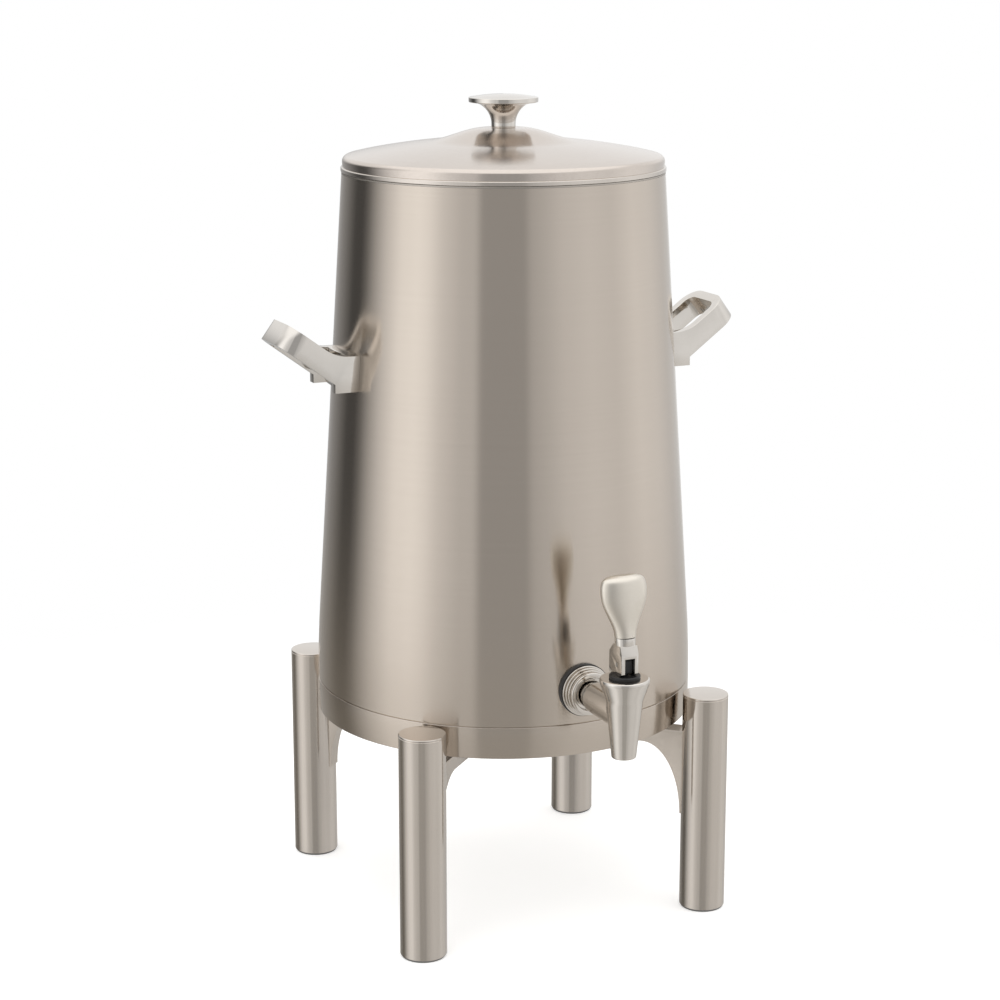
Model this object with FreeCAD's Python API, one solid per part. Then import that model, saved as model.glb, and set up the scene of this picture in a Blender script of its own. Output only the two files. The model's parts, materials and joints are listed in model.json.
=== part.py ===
import FreeCAD, Part
import math
import os

from FreeCAD import Vector

# A double-walled coffee urn on four tube legs, with a self-closing lever faucet,
# two cast loop handles and a lift-off lid. Millimetres, +Z up, faucet towards -Y.
# The shapes are made about the urn's own upright axis and moved at the end, so that
# the origin lies on the floor under the centre of the whole urn.

# Body
body_foot_radius = 132.3
body_taper_deg = 3.67
body_foot_z = 158.5
body_curve_height = 42.0
body_height = 354.9
shell_wall = 1.0
insulated_gap = 14.0
vessel_wall = 1.0
vessel_floor_z = 163.0
vessel_corner = 8.0
foam_thickness = 5.6
foam_top_gap = 2.0
foam_floor_gap = 1.0
foam_hole_clearance = 1.0

# Rim between the outer shell and the vessel
collar_thickness = 1.0
collar_skirt = 7.0
flange_gap = 0.1

# Band and pan under the shell
band_height = 21.6
band_wall = 1.2
band_gap = 0.9
band_lip = 9.0
band_edge = 1.4
pan_thickness = 1.4
pan_drop = 9.5
pan_margin = 25.3
pan_slope_run = 3.0
pan_inner_step = 1.0
pan_clearance = 0.2
pan_recess = 1.6
band_flange_width = 14.0

# Legs
leg_radius = 15.875
leg_wall = 1.6
leg_gap = 2.65
leg_top_drop = 0.5
cap_thickness = 1.5
cap_edge = 1.1
plug_depth = 12.0
plug_wall = 2.0
plug_fit = 0.05
plug_web = 1.0
glide_height = 1.6
glide_inset = 0.7
glide_edge = 1.0
glide_floor = 2.0

# Leg brackets
bracket_thickness = 12.0
bracket_flange = 2.6
bracket_flange_overhang = 0.8
bracket_foot_depth = 11.0
bracket_leg_depth = 61.0
bracket_length = 50.95
bracket_foot_length = 23.0
bracket_screw_inset = 6.0
bracket_screw_pitch = 11.0
bracket_thread_depth = 5.0

# Side handles
pad_bottom_z = 373.5
pad_height = 24.2
pad_reach = 14.0
pad_knee = 6.0
pad_plate = 6.0
handle_slope_deg = 36.5
handle_tip_reach = 52.0
handle_width = 50.0
handle_corner = 14.0
strap_height = 15.5
strap_thickness = 7.0
strap_bend = 30.0
seat_gap = 0.05
backing_thickness = 2.0
backing_margin = 3.0
handle_screw_spread = 26.0
handle_bore_floor = 1.5
handle_screw_gap = 0.5

# Screws
screw_radius = 2.5
screw_head_radius = 4.4
screw_head_height = 2.8
small_screw_radius = 1.5
small_head_radius = 2.9
small_head_height = 1.6
socket_radius = 1.4
socket_depth = 1.2
base_screw_count = 6
base_screw_spare = 2.0

# Faucet shank and its seals
shank_z = 181.0
shank_radius = 8.0
shank_bore = 4.5
shank_inside = 12.0
shank_engagement = 10.0
hole_clearance = 0.2
nut_flats = 22.0
nut_height = 6.0
gasket_thickness = 2.2
inner_gasket_radius = 12.0
collar_radius = 17.3
collar_length = 9.6
collar_ribs = 3
rib_step = 0.9
rib_depth = 0.8
rib_share = 0.55
collar_recess_radius = 11.4
collar_recess_depth = 4.0
outer_gasket_extra = 0.5
neck_clearance = 0.2

# Faucet body
faucet_reach = 59.3
spout_bottom_z = 152.4
spout_tip_radius = 8.1
spout_wall = 2.5
throat_z = 191.0
throat_radius = 12.0
cup_z = 206.3
cup_radius = 16.4
cup_lip = 3.6
cup_flare_sag = 0.6
barrel_radius = 10.6
barrel_neck_radius = 9.6
barrel_neck = 8.0
neck_blend = 2.5
neck_blend_end = 1.0
neck_blend_rise = 0.3
tip_edge = 0.6
cup_edge = 1.2
seat_z = 174.0
chamber_radius = 7.4
bonnet_plug_radius = 9.2
bonnet_plug_depth = 6.0
bonnet_flange_height = 1.7
bonnet_radius = 10.2
bonnet_gasket_thickness = 0.6
bonnet_gasket_inset = 0.3
bonnet_edge = 0.5
vent_radius = 0.8
vent_drop = 2.0
vent_depth = 3.2
vent_start = 1.0
vent_turn_deg = -27.0

# Valve and lever
stem_radius = 2.2
stem_clearance = 0.15
cup_seal_clearance = 0.6
cup_seal_height = 10.0
cup_seal_floor = 3.0
cup_seal_edge = 0.8
cup_seal_wall = 1.2
seat_clearance = 0.05
spring_pocket = 3.0
spring_wire = 0.9
spring_turns = 6
spring_clearance = 0.4
spring_end_gap = 0.1
pin_radius = 1.5
pin_clearance = 0.05
pin_over_bonnet = 7.0
lift_per_radian = 2.4
lever_range_deg = 40.0
heel_clearance = 0.1
stem_head_width = 6.4
stem_head_depth = 8.0
stem_head_top = 4.6
stem_head_drop = 5.2
yoke_width = 12.0
yoke_slot_clearance = 0.3
yoke_back = 10.6
yoke_height = 20.0
yoke_chamfer = 5.0
yoke_back_chamfer = 6.0
heel_steps = 6
yoke_slot_top = 5.0
yoke_flat = 10.4
neck_height = 4.8
neck_inset = 0.3
stud_radius = 3.0
stud_length = 12.0
stud_root = 2.0
grip_lean_deg = 6.0
grip_length = 40.5
grip_neck_width = 14.0
grip_neck_depth = 12.4
grip_width = 32.0
grip_depth = 15.6
grip_widest = 0.7
grip_rings = 6
grip_crown_turn_deg = 78.0
grip_width_squareness = 4.0
grip_depth_squareness = 2.6

# Lid
lid_clearance = 0.3
lid_overhang = 0.5
lid_hem = 0.9
lid_sheet = 1.2
lid_band_height = 3.4
lid_corner = 7.0
lid_sag = 12.4
lid_rise = 22.4
hump_height = 6.8
hump_outer = 52.0
hump_inner = 14.0
liner_depth = 15.4
liner_sheet = 1.0
liner_clearance = 1.3
liner_flange_lift = 1.4
liner_corner = 6.0
lid_gasket_width = 9.0
lid_gasket_inset = 2.0
lid_gasket_edge = 0.6
lid_gasket_bulge = 0.2
lid_fill_clearance = 1.5
lid_fill_hole = 14.0
lid_fill_chamfer = 5.0
dome_samples = 24

# Lid knob
knob_stem_radius = 8.3
knob_stem_height = 2.5
knob_foot_edge = 0.5
knob_flare_height = 14.7
knob_radius = 23.8
knob_rim_height = 3.4
knob_rim_round = 1.2
knob_dome = 2.2
knob_screw_depth = 11.0
knob_screw_gap = 1.0
washer_radius = 9.0
washer_thickness = 1.2

# Sizes that follow from the ones above
halfway = math.cos(math.pi / 4)
eased = 1 - halfway
taper = math.radians(body_taper_deg)
curve_radius = body_curve_height / math.sin(taper)
body_top_z = body_foot_z + body_height
band_top_z = body_foot_z - band_gap
band_bottom_z = band_top_z - band_height
collar_top_z = body_top_z + flange_gap + collar_thickness
pan_flange_z = band_bottom_z + pan_recess
pan_bottom_z = pan_flange_z - pan_drop + pan_thickness
leg_circle = body_foot_radius + leg_gap + leg_radius
leg_top_z = band_top_z - leg_top_drop
leg_face = leg_circle - leg_radius
pan_radius = body_foot_radius - pan_margin
bracket_inner_radius = leg_face - bracket_length
bracket_curve_start = bracket_inner_radius + bracket_foot_length
bracket_screw_radii = (bracket_inner_radius + bracket_screw_inset,
                       bracket_inner_radius + bracket_screw_inset + bracket_screw_pitch)
leg_angles = {"front_left": 225.0, "front_right": 315.0, "back_left": 135.0, "back_right": 45.0}
pad_top_z = pad_bottom_z + pad_height
bonnet_seat_z = cup_z + bonnet_gasket_thickness
bonnet_top_z = bonnet_seat_z + bonnet_flange_height
pin_z = bonnet_top_z + pin_over_bonnet
chamber_top_z = cup_z - bonnet_plug_depth
grip_base_z = pin_z - pin_over_bonnet + heel_clearance + yoke_height + neck_height
UP = Vector(0, 0, 1)
AHEAD = Vector(0, -1, 0)


def shell_radius(z):
    """Outer radius of the shell: a straight taper that turns upright near its foot."""
    rise = z - body_foot_z
    if rise < body_curve_height:
        return body_foot_radius - curve_radius + math.sqrt(curve_radius ** 2 - rise ** 2)
    top_of_curve = body_foot_radius - curve_radius * (1 - math.cos(taper))
    return top_of_curve - (rise - body_curve_height) * math.tan(taper)


def vessel_radius(z):
    """Outer radius of the vessel, whose wall follows the straight part of the shell."""
    return shell_radius(body_top_z) - insulated_gap + (body_top_z - z) * math.tan(taper)


shell_face = shell_radius(shank_z)
faucet_axis = shell_face + faucet_reach
depth_front = faucet_axis + cup_radius
depth_back = body_foot_radius
axis_y = (depth_front - depth_back) / 2


def closed_wire(start, moves):
    """A closed outline in the XZ plane from lines (x, z) and arcs ((x, z), (x, z))."""
    edges = []
    here = Vector(start[0], 0, start[1])
    for move in list(moves) + [start]:
        if isinstance(move[0], tuple):
            middle = Vector(move[0][0], 0, move[0][1])
            there = Vector(move[1][0], 0, move[1][1])
            edges.append(Part.Arc(here, middle, there).toShape())
        elif isinstance(move[0], Part.Shape):
            there = Vector(move[1][0], 0, move[1][1])
            edges.append(move[0])
        else:
            there = Vector(move[0], 0, move[1])
            if there.distanceToPoint(here) > 1e-6:
                edges.append(Part.makeLine(here, there))
        here = there
    return Part.Wire(edges)


def turned(start, moves):
    """A solid turned about the upright axis from half of its section."""
    return Part.Face(closed_wire(start, moves)).revolve(Vector(), UP, 360)


def turned_ahead(start, moves):
    """A solid turned about the faucet's level axis, from (radius, distance ahead)."""
    solid = turned(start, moves)
    solid.rotate(Vector(), Vector(1, 0, 0), 90)
    return solid.translated(Vector(0, 0, shank_z))


def slab(x_low, x_high, y_low, y_high, z_low, z_high):
    corner = Vector(x_low, y_low, z_low)
    return Part.makeBox(x_high - x_low, y_high - y_low, z_high - z_low, corner)


def upright(radius, z_low, z_high, x=0.0, y=0.0):
    return Part.makeCylinder(radius, z_high - z_low, Vector(x, y, z_low), UP)


def along_x(radius, x_low, x_high, y, z):
    return Part.makeCylinder(radius, x_high - x_low, Vector(x_low, y, z), Vector(1, 0, 0))


def ahead(radius, near, far):
    """A cylinder along the faucet's level axis, between two distances from the urn's axis."""
    return Part.makeCylinder(radius, far - near, Vector(0, -near, shank_z), AHEAD)


def rounded(solid, radius, chosen):
    """The solid with the chosen edges rounded."""
    edges = [edge for edge in solid.Edges if chosen(edge)]
    return solid.makeFillet(radius, edges)


def screw(shaft_radius, head_radius, head_height, length):
    """A pan-head screw along -Z with the underside of its head at the origin."""
    shaft = upright(shaft_radius, -length, 0)
    head = turned((0, 0), [(head_radius, 0), (head_radius, head_height * 0.5),
                           ((head_radius * 0.8, head_height * 0.88), (0, head_height))])
    socket = upright(socket_radius, head_height - socket_depth, head_height)
    return shaft.fuse(head).removeSplitter().cut(socket)


def turned_to(solid, angle_deg):
    """The solid swung about the urn's axis."""
    copy = solid.copy()
    copy.rotate(Vector(), UP, angle_deg)
    return copy


def shell_solid(offset_out, wall, z_low, z_high):
    """A skin that follows the shell, offset from its outer face and open at both ends."""
    bend_z = body_foot_z + body_curve_height
    half_z = (z_low + bend_z) / 2
    outer = offset_out
    inner = offset_out - wall
    low_outer = (shell_radius(z_low) + outer, z_low)
    low_inner = (shell_radius(z_low) + inner, z_low)
    upper = [(shell_radius(z_high) + outer, z_high), (shell_radius(z_high) + inner, z_high)]
    if z_low >= bend_z:
        return turned(low_outer, upper + [low_inner])
    bend_outer = ((shell_radius(half_z) + outer, half_z), (shell_radius(bend_z) + outer, bend_z))
    bend_inner = ((shell_radius(half_z) + inner, half_z), low_inner)
    return turned(low_outer, [bend_outer] + upper + [(shell_radius(bend_z) + inner, bend_z), bend_inner])


def make_outer_shell():
    hole = ahead(shank_radius + hole_clearance, shell_face - insulated_gap, shell_face + insulated_gap)
    shell = shell_solid(0, shell_wall, body_foot_z, body_top_z).cut(hole)
    for bore in handle_screw_bores(screw_radius + hole_clearance):
        shell = shell.cut(bore)
    return shell


def vessel_space(grow, floor_z, corner, top_z):
    """The vessel's filled shape, grown by an amount, down to a rounded floor."""
    lean = vessel_radius(floor_z + corner) + grow
    base = lean - corner
    bend = (base + corner * halfway, floor_z + corner * eased)
    return turned((0, floor_z), [(base, floor_z), (bend, (lean, floor_z + corner)),
                                 (vessel_radius(top_z) + grow, top_z), (0, top_z)])


def make_inner_vessel():
    flange_outer = shell_radius(body_top_z) - shell_wall - collar_thickness - 3 * flange_gap
    flange = upright(flange_outer, body_top_z - vessel_wall, body_top_z)
    body = vessel_space(0, vessel_floor_z - vessel_wall, vessel_corner, body_top_z)
    hollow = vessel_space(-vessel_wall, vessel_floor_z, vessel_corner - vessel_wall,
                          body_top_z + vessel_corner)
    hole = ahead(shank_radius + hole_clearance, shell_face - 2 * insulated_gap, shell_face)
    return body.fuse(flange).cut(hollow).cut(hole)


def make_insulation_jacket():
    """Rigid foam sleeve on the vessel, with room outside it for the handle fixings."""
    top = body_top_z - vessel_wall - foam_top_gap
    bottom = vessel_floor_z - vessel_wall + vessel_corner
    near = flange_gap
    sleeve = turned((vessel_radius(bottom) + near, bottom), [
        (vessel_radius(bottom) + foam_thickness, bottom), (vessel_radius(top) + foam_thickness, top),
        (vessel_radius(top) + near, top)])
    hole = ahead(shank_radius + foam_hole_clearance, shell_face - 2 * insulated_gap, shell_face)
    return sleeve.cut(hole)


def make_insulation_pad():
    top = vessel_floor_z - vessel_wall
    radius = vessel_radius(top + vessel_corner) - vessel_corner
    return upright(radius, pan_flange_z + pan_thickness + band_wall + foam_floor_gap, top)


def make_rim_collar():
    """Rolled ring that ties the shell and the vessel together and carries the lid."""
    outer = shell_radius(body_top_z)
    skirt_outer = outer - shell_wall - flange_gap
    skirt_inner = skirt_outer - collar_thickness
    skirt_z = body_top_z - collar_skirt
    mouth = vessel_radius(body_top_z) - vessel_wall
    under = body_top_z + flange_gap
    return turned((mouth, under), [(skirt_inner, under), (skirt_inner, skirt_z), (skirt_outer, skirt_z),
                                   (skirt_outer, under), (outer, under), (outer, collar_top_z),
                                   (mouth, collar_top_z)])


def make_base_band():
    """Ring under the shell with a lip up inside it and a flange in for the pan."""
    outer = body_foot_radius
    lip_outer = outer - shell_wall - flange_gap
    lip_inner = lip_outer - band_wall
    flange_z = pan_flange_z + pan_thickness
    flange_inner = outer - band_flange_width
    edge = band_edge
    band = turned(
        (outer - edge, band_bottom_z),
        [((outer - edge * eased, band_bottom_z + edge * eased), (outer, band_bottom_z + edge)),
         (outer, band_top_z), (lip_outer, band_top_z), (lip_outer, band_top_z + band_lip),
         (lip_inner, band_top_z + band_lip), (lip_inner, flange_z + band_wall),
         (flange_inner, flange_z + band_wall), (flange_inner, flange_z),
         (lip_outer, flange_z), (lip_outer, band_bottom_z)])
    for x, y in base_screw_places():
        bore = upright(small_screw_radius, flange_z - band_wall, flange_z + 2 * band_wall, x, y)
        band = band.cut(bore)
    return band


def base_screw_places():
    radius = body_foot_radius - band_flange_width / 2 - band_wall
    for index in range(base_screw_count):
        angle = math.radians(360 / base_screw_count * index)
        yield radius * math.cos(angle), radius * math.sin(angle)


def bracket_screw_places():
    for angle in leg_angles.values():
        for radius in bracket_screw_radii:
            yield radius * math.cos(math.radians(angle)), radius * math.sin(math.radians(angle))


def make_base_plate():
    """Dished pan that closes the base and carries the leg brackets."""
    rim = body_foot_radius - shell_wall - flange_gap - pan_clearance
    low = pan_bottom_z
    high = pan_flange_z
    slope = pan_radius + pan_slope_run
    plate = turned((0, low), [(pan_radius, low), (slope, high), (rim, high),
                              (rim, high + pan_thickness), (slope - pan_inner_step, high + pan_thickness),
                              (pan_radius - pan_inner_step, low + pan_thickness),
                              (0, low + pan_thickness)])
    for x, y in base_screw_places():
        plate = plate.cut(upright(small_screw_radius + hole_clearance, low, high + 2 * pan_thickness, x, y))
    for x, y in bracket_screw_places():
        plate = plate.cut(upright(screw_radius + hole_clearance, low - pan_thickness, high, x, y))
    return plate


def make_base_plate_screws():
    one = screw(small_screw_radius, small_head_radius, small_head_height,
                pan_thickness + band_wall + base_screw_spare)
    one.rotate(Vector(), Vector(1, 0, 0), 180)
    return Part.Compound([one.translated(Vector(x, y, pan_flange_z)) for x, y in base_screw_places()])


def make_bracket_screws():
    length = pan_thickness + bracket_flange + bracket_thread_depth
    one = screw(screw_radius, screw_head_radius, screw_head_height, length)
    top = pan_bottom_z + pan_thickness
    return Part.Compound([one.translated(Vector(x, y, top)) for x, y in bracket_screw_places()])


def make_leg():
    tube = upright(leg_radius, glide_height, leg_top_z - cap_thickness, leg_circle)
    bore = upright(leg_radius - leg_wall, 0, leg_top_z, leg_circle)
    return tube.cut(bore)


def make_leg_cap():
    """Flat end cap with an eased edge and a spigot down inside the tube."""
    radius = leg_radius
    spigot = radius - leg_wall - plug_fit
    base = leg_top_z - cap_thickness
    cap = turned((0, base - plug_depth), [
        (spigot, base - plug_depth), (spigot, base), (radius, base), (radius, leg_top_z - cap_edge),
        ((radius - cap_edge * eased, leg_top_z - cap_edge * eased), (radius - cap_edge, leg_top_z)),
        (0, leg_top_z)])
    hollow = upright(spigot - plug_wall, base - plug_depth, base - plug_web)
    return cap.cut(hollow).translated(Vector(leg_circle, 0, 0))


def make_foot_glide():
    """Nylon plug in the bottom of the tube: the face that stands on the table."""
    radius = leg_radius - glide_inset
    spigot = leg_radius - leg_wall - plug_fit
    edge = glide_edge
    plug = turned((0, 0), [(radius - edge, 0), ((radius - edge * eased, edge * eased), (radius, edge)),
                           (radius, glide_height), (spigot, glide_height),
                           (spigot, glide_height + plug_depth), (0, glide_height + plug_depth)])
    hollow = upright(spigot - plug_wall, glide_height + glide_floor, glide_height + plug_depth)
    return plug.cut(hollow).translated(Vector(leg_circle, 0, 0))


def make_leg_bracket():
    """Cast gusset: a foot bolted up to the pan and a web that sweeps down to the leg."""
    top = pan_bottom_z
    foot_z = top - bracket_foot_depth
    toe_z = top - bracket_leg_depth
    centre = Vector(bracket_curve_start, 0, toe_z)
    ends = [Vector(bracket_curve_start, 0, foot_z), Vector(leg_face, 0, toe_z)]
    ends.sort(key=lambda end: end.distanceToPoint(centre), reverse=True)
    sweep = Part.Ellipse(ends[0], ends[1], centre)
    half = bracket_thickness / 2
    hollow = Part.Face(Part.Wire(sweep.toShape()))
    hollow = hollow.extrude(Vector(0, bracket_thickness * 2, 0))
    hollow = hollow.translated(Vector(0, -bracket_thickness, 0))
    web = slab(bracket_inner_radius, leg_circle, -half, half, toe_z, top)
    under = slab(bracket_inner_radius - half, bracket_curve_start, -half * 2, half * 2, toe_z - half, foot_z)
    wide = half + bracket_flange_overhang
    flange = slab(bracket_inner_radius, leg_circle, -wide, wide, top - bracket_flange, top)
    bracket = web.cut(hollow).cut(under).fuse(flange)
    bracket = bracket.cut(upright(leg_radius, 0, top + bracket_flange, leg_circle))
    bore_low = top - bracket_flange - bracket_thread_depth
    for radius in bracket_screw_radii:
        bracket = bracket.cut(upright(screw_radius, bore_low, top, radius))
    return bracket.removeSplitter()


def handle_sides():
    """Side view of the handle, as wide as the whole loop, on the +X side."""
    slope = math.radians(handle_slope_deg)
    inside = shell_radius(pad_bottom_z) - handle_width / 2
    knee_x = shell_radius(pad_bottom_z) + pad_reach
    knee_z = pad_bottom_z + pad_knee
    tip_x = shell_radius(pad_bottom_z) + handle_tip_reach
    tip_z = knee_z + (tip_x - knee_x) * math.tan(slope)
    lift_x = -strap_height * math.sin(slope)
    lift_z = strap_height * math.cos(slope)
    meet_x = knee_x + lift_x + (pad_top_z - knee_z - lift_z) / math.tan(slope)
    run = strap_bend * math.tan(slope / 2)
    bend_start = (meet_x - run, pad_top_z)
    bend_end = (meet_x + run * math.cos(slope), pad_top_z + run * math.sin(slope))
    bend_middle = (bend_start[0] + strap_bend * math.sin(slope / 2),
                   pad_top_z + strap_bend * (1 - math.cos(slope / 2)))
    wire = closed_wire((inside, pad_bottom_z), [
        (knee_x, pad_bottom_z), (knee_x, knee_z), (tip_x, tip_z), (tip_x + lift_x, tip_z + lift_z),
        bend_end, (bend_middle, bend_start), (inside, pad_top_z)])
    block = Part.Face(wire).extrude(Vector(0, handle_width, 0))
    return block.translated(Vector(0, -handle_width / 2, 0)), knee_x, knee_z, tip_x


def rounded_end(length, half, corner, deep):
    """A plan with two rounded corners at its far end, made deep both ways."""
    block = slab(-length, 0, -half, half, -deep, deep)
    return rounded(block, corner, lambda edge: edge.BoundBox.XMin > -corner and edge.BoundBox.ZLength > deep)


def make_handle():
    """One cast loop on the +X side: a saddle on the shell and a strap bent out and up."""
    sides, knee_x, knee_z, tip_x = handle_sides()
    slope = math.radians(handle_slope_deg)
    length = handle_tip_reach * 3
    outer = rounded_end(length, handle_width / 2, handle_corner, length)
    inner = rounded_end(length, handle_width / 2 - strap_thickness, handle_corner - strap_thickness, length)
    inner = inner.translated(Vector(-strap_thickness, 0, 0))
    loop = outer.cut(inner)
    loop.rotate(Vector(), Vector(0, 1, 0), -handle_slope_deg)
    out = (tip_x - knee_x) / math.cos(slope)
    loop = loop.translated(Vector(knee_x + out * math.cos(slope), 0, knee_z + out * math.sin(slope)))
    strap = sides.common(loop)
    plate = shell_solid(pad_plate, pad_plate * 2, pad_bottom_z - pad_height, pad_top_z + pad_height)
    plate = plate.common(slab(0, knee_x, -handle_width / 2, handle_width / 2, pad_bottom_z, pad_top_z))
    handle = strap.fuse(plate)
    core = shell_solid(seat_gap, handle_width * 2, pad_bottom_z - pad_height, pad_top_z + handle_width)
    handle = handle.cut(core).removeSplitter()
    for bore in handle_screw_bores(screw_radius):
        handle = handle.cut(bore)
    return handle


def handle_screw_bores(radius):
    """Bores through the wall behind both handles, as far as the middle of each saddle."""
    z = (pad_bottom_z + pad_top_z) / 2
    bores = []
    for side in (-1, 1):
        for y in (-handle_screw_spread / 2, handle_screw_spread / 2):
            wall = math.sqrt(shell_radius(z) ** 2 - y ** 2)
            near = wall - insulated_gap
            far = wall + pad_plate - handle_bore_floor
            low = min(side * near, side * far)
            bores.append(along_x(radius, low, low + far - near, y, z))
    return bores


def make_handle_backing_plates():
    z_low = pad_bottom_z + backing_margin
    z_high = pad_top_z - backing_margin
    half = handle_width / 2 - backing_margin
    skin = shell_solid(-shell_wall - seat_gap, backing_thickness, z_low - backing_margin,
                       z_high + backing_margin)
    plates = []
    for side in (-1, 1):
        window = slab(0, body_foot_radius, -half, half, z_low, z_high)
        if side < 0:
            window = window.mirror(Vector(), Vector(1, 0, 0))
        plate = skin.common(window)
        for bore in handle_screw_bores(screw_radius + hole_clearance):
            plate = plate.cut(bore)
        plates.append(plate.Solids[0])
    return Part.Compound(plates)


def make_handle_screws():
    """Two screws a side, put in from the gap behind the shell before the vessel goes in."""
    z = (pad_bottom_z + pad_top_z) / 2
    y = handle_screw_spread / 2
    wall = math.sqrt(shell_radius(z) ** 2 - y ** 2)
    inside = shell_radius(z + screw_head_radius) - shell_wall - seat_gap - backing_thickness
    seat = math.sqrt(inside ** 2 - (y + screw_head_radius) ** 2) - seat_gap
    length = wall + pad_plate - handle_bore_floor - handle_screw_gap - seat
    one = screw(screw_radius, screw_head_radius, screw_head_height, length)
    screws = []
    for side in (-1, 1):
        for across in (-y, y):
            copy = one.copy()
            copy.rotate(Vector(), Vector(0, 1, 0), -90 * side)
            screws.append(copy.translated(Vector(side * seat, across, z)))
    return Part.Compound(screws)


def make_faucet_shank():
    near = vessel_radius(shank_z) - vessel_wall - shank_inside
    far = shell_face + gasket_thickness + collar_length + shank_engagement
    return ahead(shank_radius, near, far).cut(ahead(shank_bore, near, far))


def hexagon(flats, near, far):
    """A hexagonal bar along the faucet's level axis."""
    corner = flats / math.sqrt(3)
    turns = [math.radians(60 * step) for step in range(7)]
    points = [Vector(corner * math.cos(turn), 0, corner * math.sin(turn)) for turn in turns]
    face = Part.Face(Part.makePolygon(points))
    return face.extrude(AHEAD * (far - near)).translated(Vector(0, -near, shank_z))


def make_shank_nut():
    far = vessel_radius(shank_z) - vessel_wall - gasket_thickness
    thread = ahead(shank_radius, far - 2 * nut_height, far + nut_height)
    return hexagon(nut_flats, far - nut_height, far).cut(thread)


def make_shank_inner_gasket():
    """Silicone washer shaped to the curved inside of the vessel."""
    near = vessel_radius(shank_z) - vessel_wall - gasket_thickness
    washer = ahead(inner_gasket_radius, near, near + insulated_gap)
    washer = washer.cut(ahead(shank_radius, near - insulated_gap, near + 2 * insulated_gap))
    room = vessel_space(-vessel_wall, vessel_floor_z, vessel_corner - vessel_wall, body_top_z)
    return washer.common(room)


def make_shank_outer_gasket():
    """Black washer shaped to the curved face of the shell, a hair wider than the collar."""
    far = shell_face + gasket_thickness
    washer = ahead(collar_radius + outer_gasket_extra, far - insulated_gap, far)
    washer = washer.cut(ahead(shank_radius, far - 2 * insulated_gap, far + insulated_gap))
    return washer.cut(shell_solid(0, body_foot_radius / 2, body_foot_z, body_top_z))


def make_faucet_collar():
    """Clamping ring with ribs that step in towards the tap, and a recess for its neck."""
    near = shell_face + gasket_thickness
    far = near + collar_length
    pitch = collar_length / (collar_ribs + 1)
    outline = []
    for index in range(collar_ribs):
        radius = collar_radius - rib_step * index
        start = near + pitch * index
        ridge = start + pitch * rib_share
        outline += [(radius, start), (radius, ridge), (radius - rib_depth, ridge),
                    (radius - rib_depth, start + pitch)]
    face_radius = collar_radius - rib_step * collar_ribs
    outline += [(face_radius, far - pitch), (face_radius, far), (collar_recess_radius, far),
                (collar_recess_radius, far - collar_recess_depth),
                (shank_radius, far - collar_recess_depth), (shank_radius, near)]
    return turned_ahead(outline[0], outline[1:])


def at_faucet(solid):
    return solid.translated(Vector(0, -faucet_axis, 0))


def make_faucet_body():
    """Cast tap body: level barrel, flared cup above and tapered spout below."""
    lip_z = cup_z - cup_lip
    lip_low = (cup_radius - cup_edge, lip_z)
    flare = ((throat_radius + lip_low[0]) / 2 - cup_flare_sag, (throat_z + lip_z) / 2)
    turn_in = cup_edge * eased
    outside = turned((0, spout_bottom_z), [
        (spout_tip_radius - tip_edge, spout_bottom_z), (spout_tip_radius, spout_bottom_z + tip_edge),
        (throat_radius, throat_z), (flare, lip_low),
        ((cup_radius - turn_in, lip_z + turn_in), (cup_radius, lip_z + cup_edge)),
        (cup_radius, cup_z - cup_edge),
        ((cup_radius - turn_in, cup_z - turn_in), (cup_radius - cup_edge, cup_z)), (0, cup_z)])
    shoulder = shell_face + gasket_thickness + collar_length
    neck_start = shoulder - collar_recess_depth + neck_clearance
    neck_end = shoulder + barrel_neck
    barrel = turned_ahead((0, neck_start), [
        (barrel_neck_radius, neck_start), (barrel_neck_radius, neck_end - neck_blend),
        ((barrel_neck_radius + neck_blend_rise, neck_end - neck_blend_end), (barrel_radius, neck_end)),
        (barrel_radius, faucet_axis), (0, faucet_axis)])
    body = at_faucet(outside).fuse(barrel)
    bore_tip = spout_tip_radius - spout_wall
    inside = turned((0, spout_bottom_z), [
        (bore_tip, spout_bottom_z), (bore_tip, seat_z), (chamber_radius, seat_z),
        (chamber_radius, chamber_top_z), (bonnet_plug_radius, chamber_top_z),
        (bonnet_plug_radius, cup_z), (0, cup_z)])
    shank_end = shoulder + shank_engagement
    inlet = ahead(shank_bore, neck_start, faucet_axis)
    socket = ahead(shank_radius, neck_start, shank_end)
    vent_mouth = Vector(0, -cup_radius - vent_start, cup_z - vent_drop)
    vent = Part.makeCylinder(vent_radius, vent_depth, vent_mouth, -AHEAD)
    vent.rotate(Vector(), UP, vent_turn_deg)
    return body.cut(at_faucet(inside)).cut(inlet).cut(socket).cut(at_faucet(vent))


def make_bonnet_gasket():
    ring = upright(bonnet_radius - bonnet_gasket_inset, cup_z, bonnet_seat_z)
    return at_faucet(ring.cut(upright(bonnet_plug_radius, cup_z, bonnet_seat_z)))


def make_bonnet():
    """Black screw plug that closes the chamber and guides the stem."""
    edge = bonnet_edge
    plug = turned((0, chamber_top_z), [
        (bonnet_plug_radius, chamber_top_z), (bonnet_plug_radius, bonnet_seat_z),
        (bonnet_radius, bonnet_seat_z), (bonnet_radius, bonnet_top_z - edge),
        (bonnet_radius - edge, bonnet_top_z), (0, bonnet_top_z)])
    guide = upright(stem_radius + stem_clearance, chamber_top_z, bonnet_top_z)
    return at_faucet(plug.cut(guide))


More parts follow.
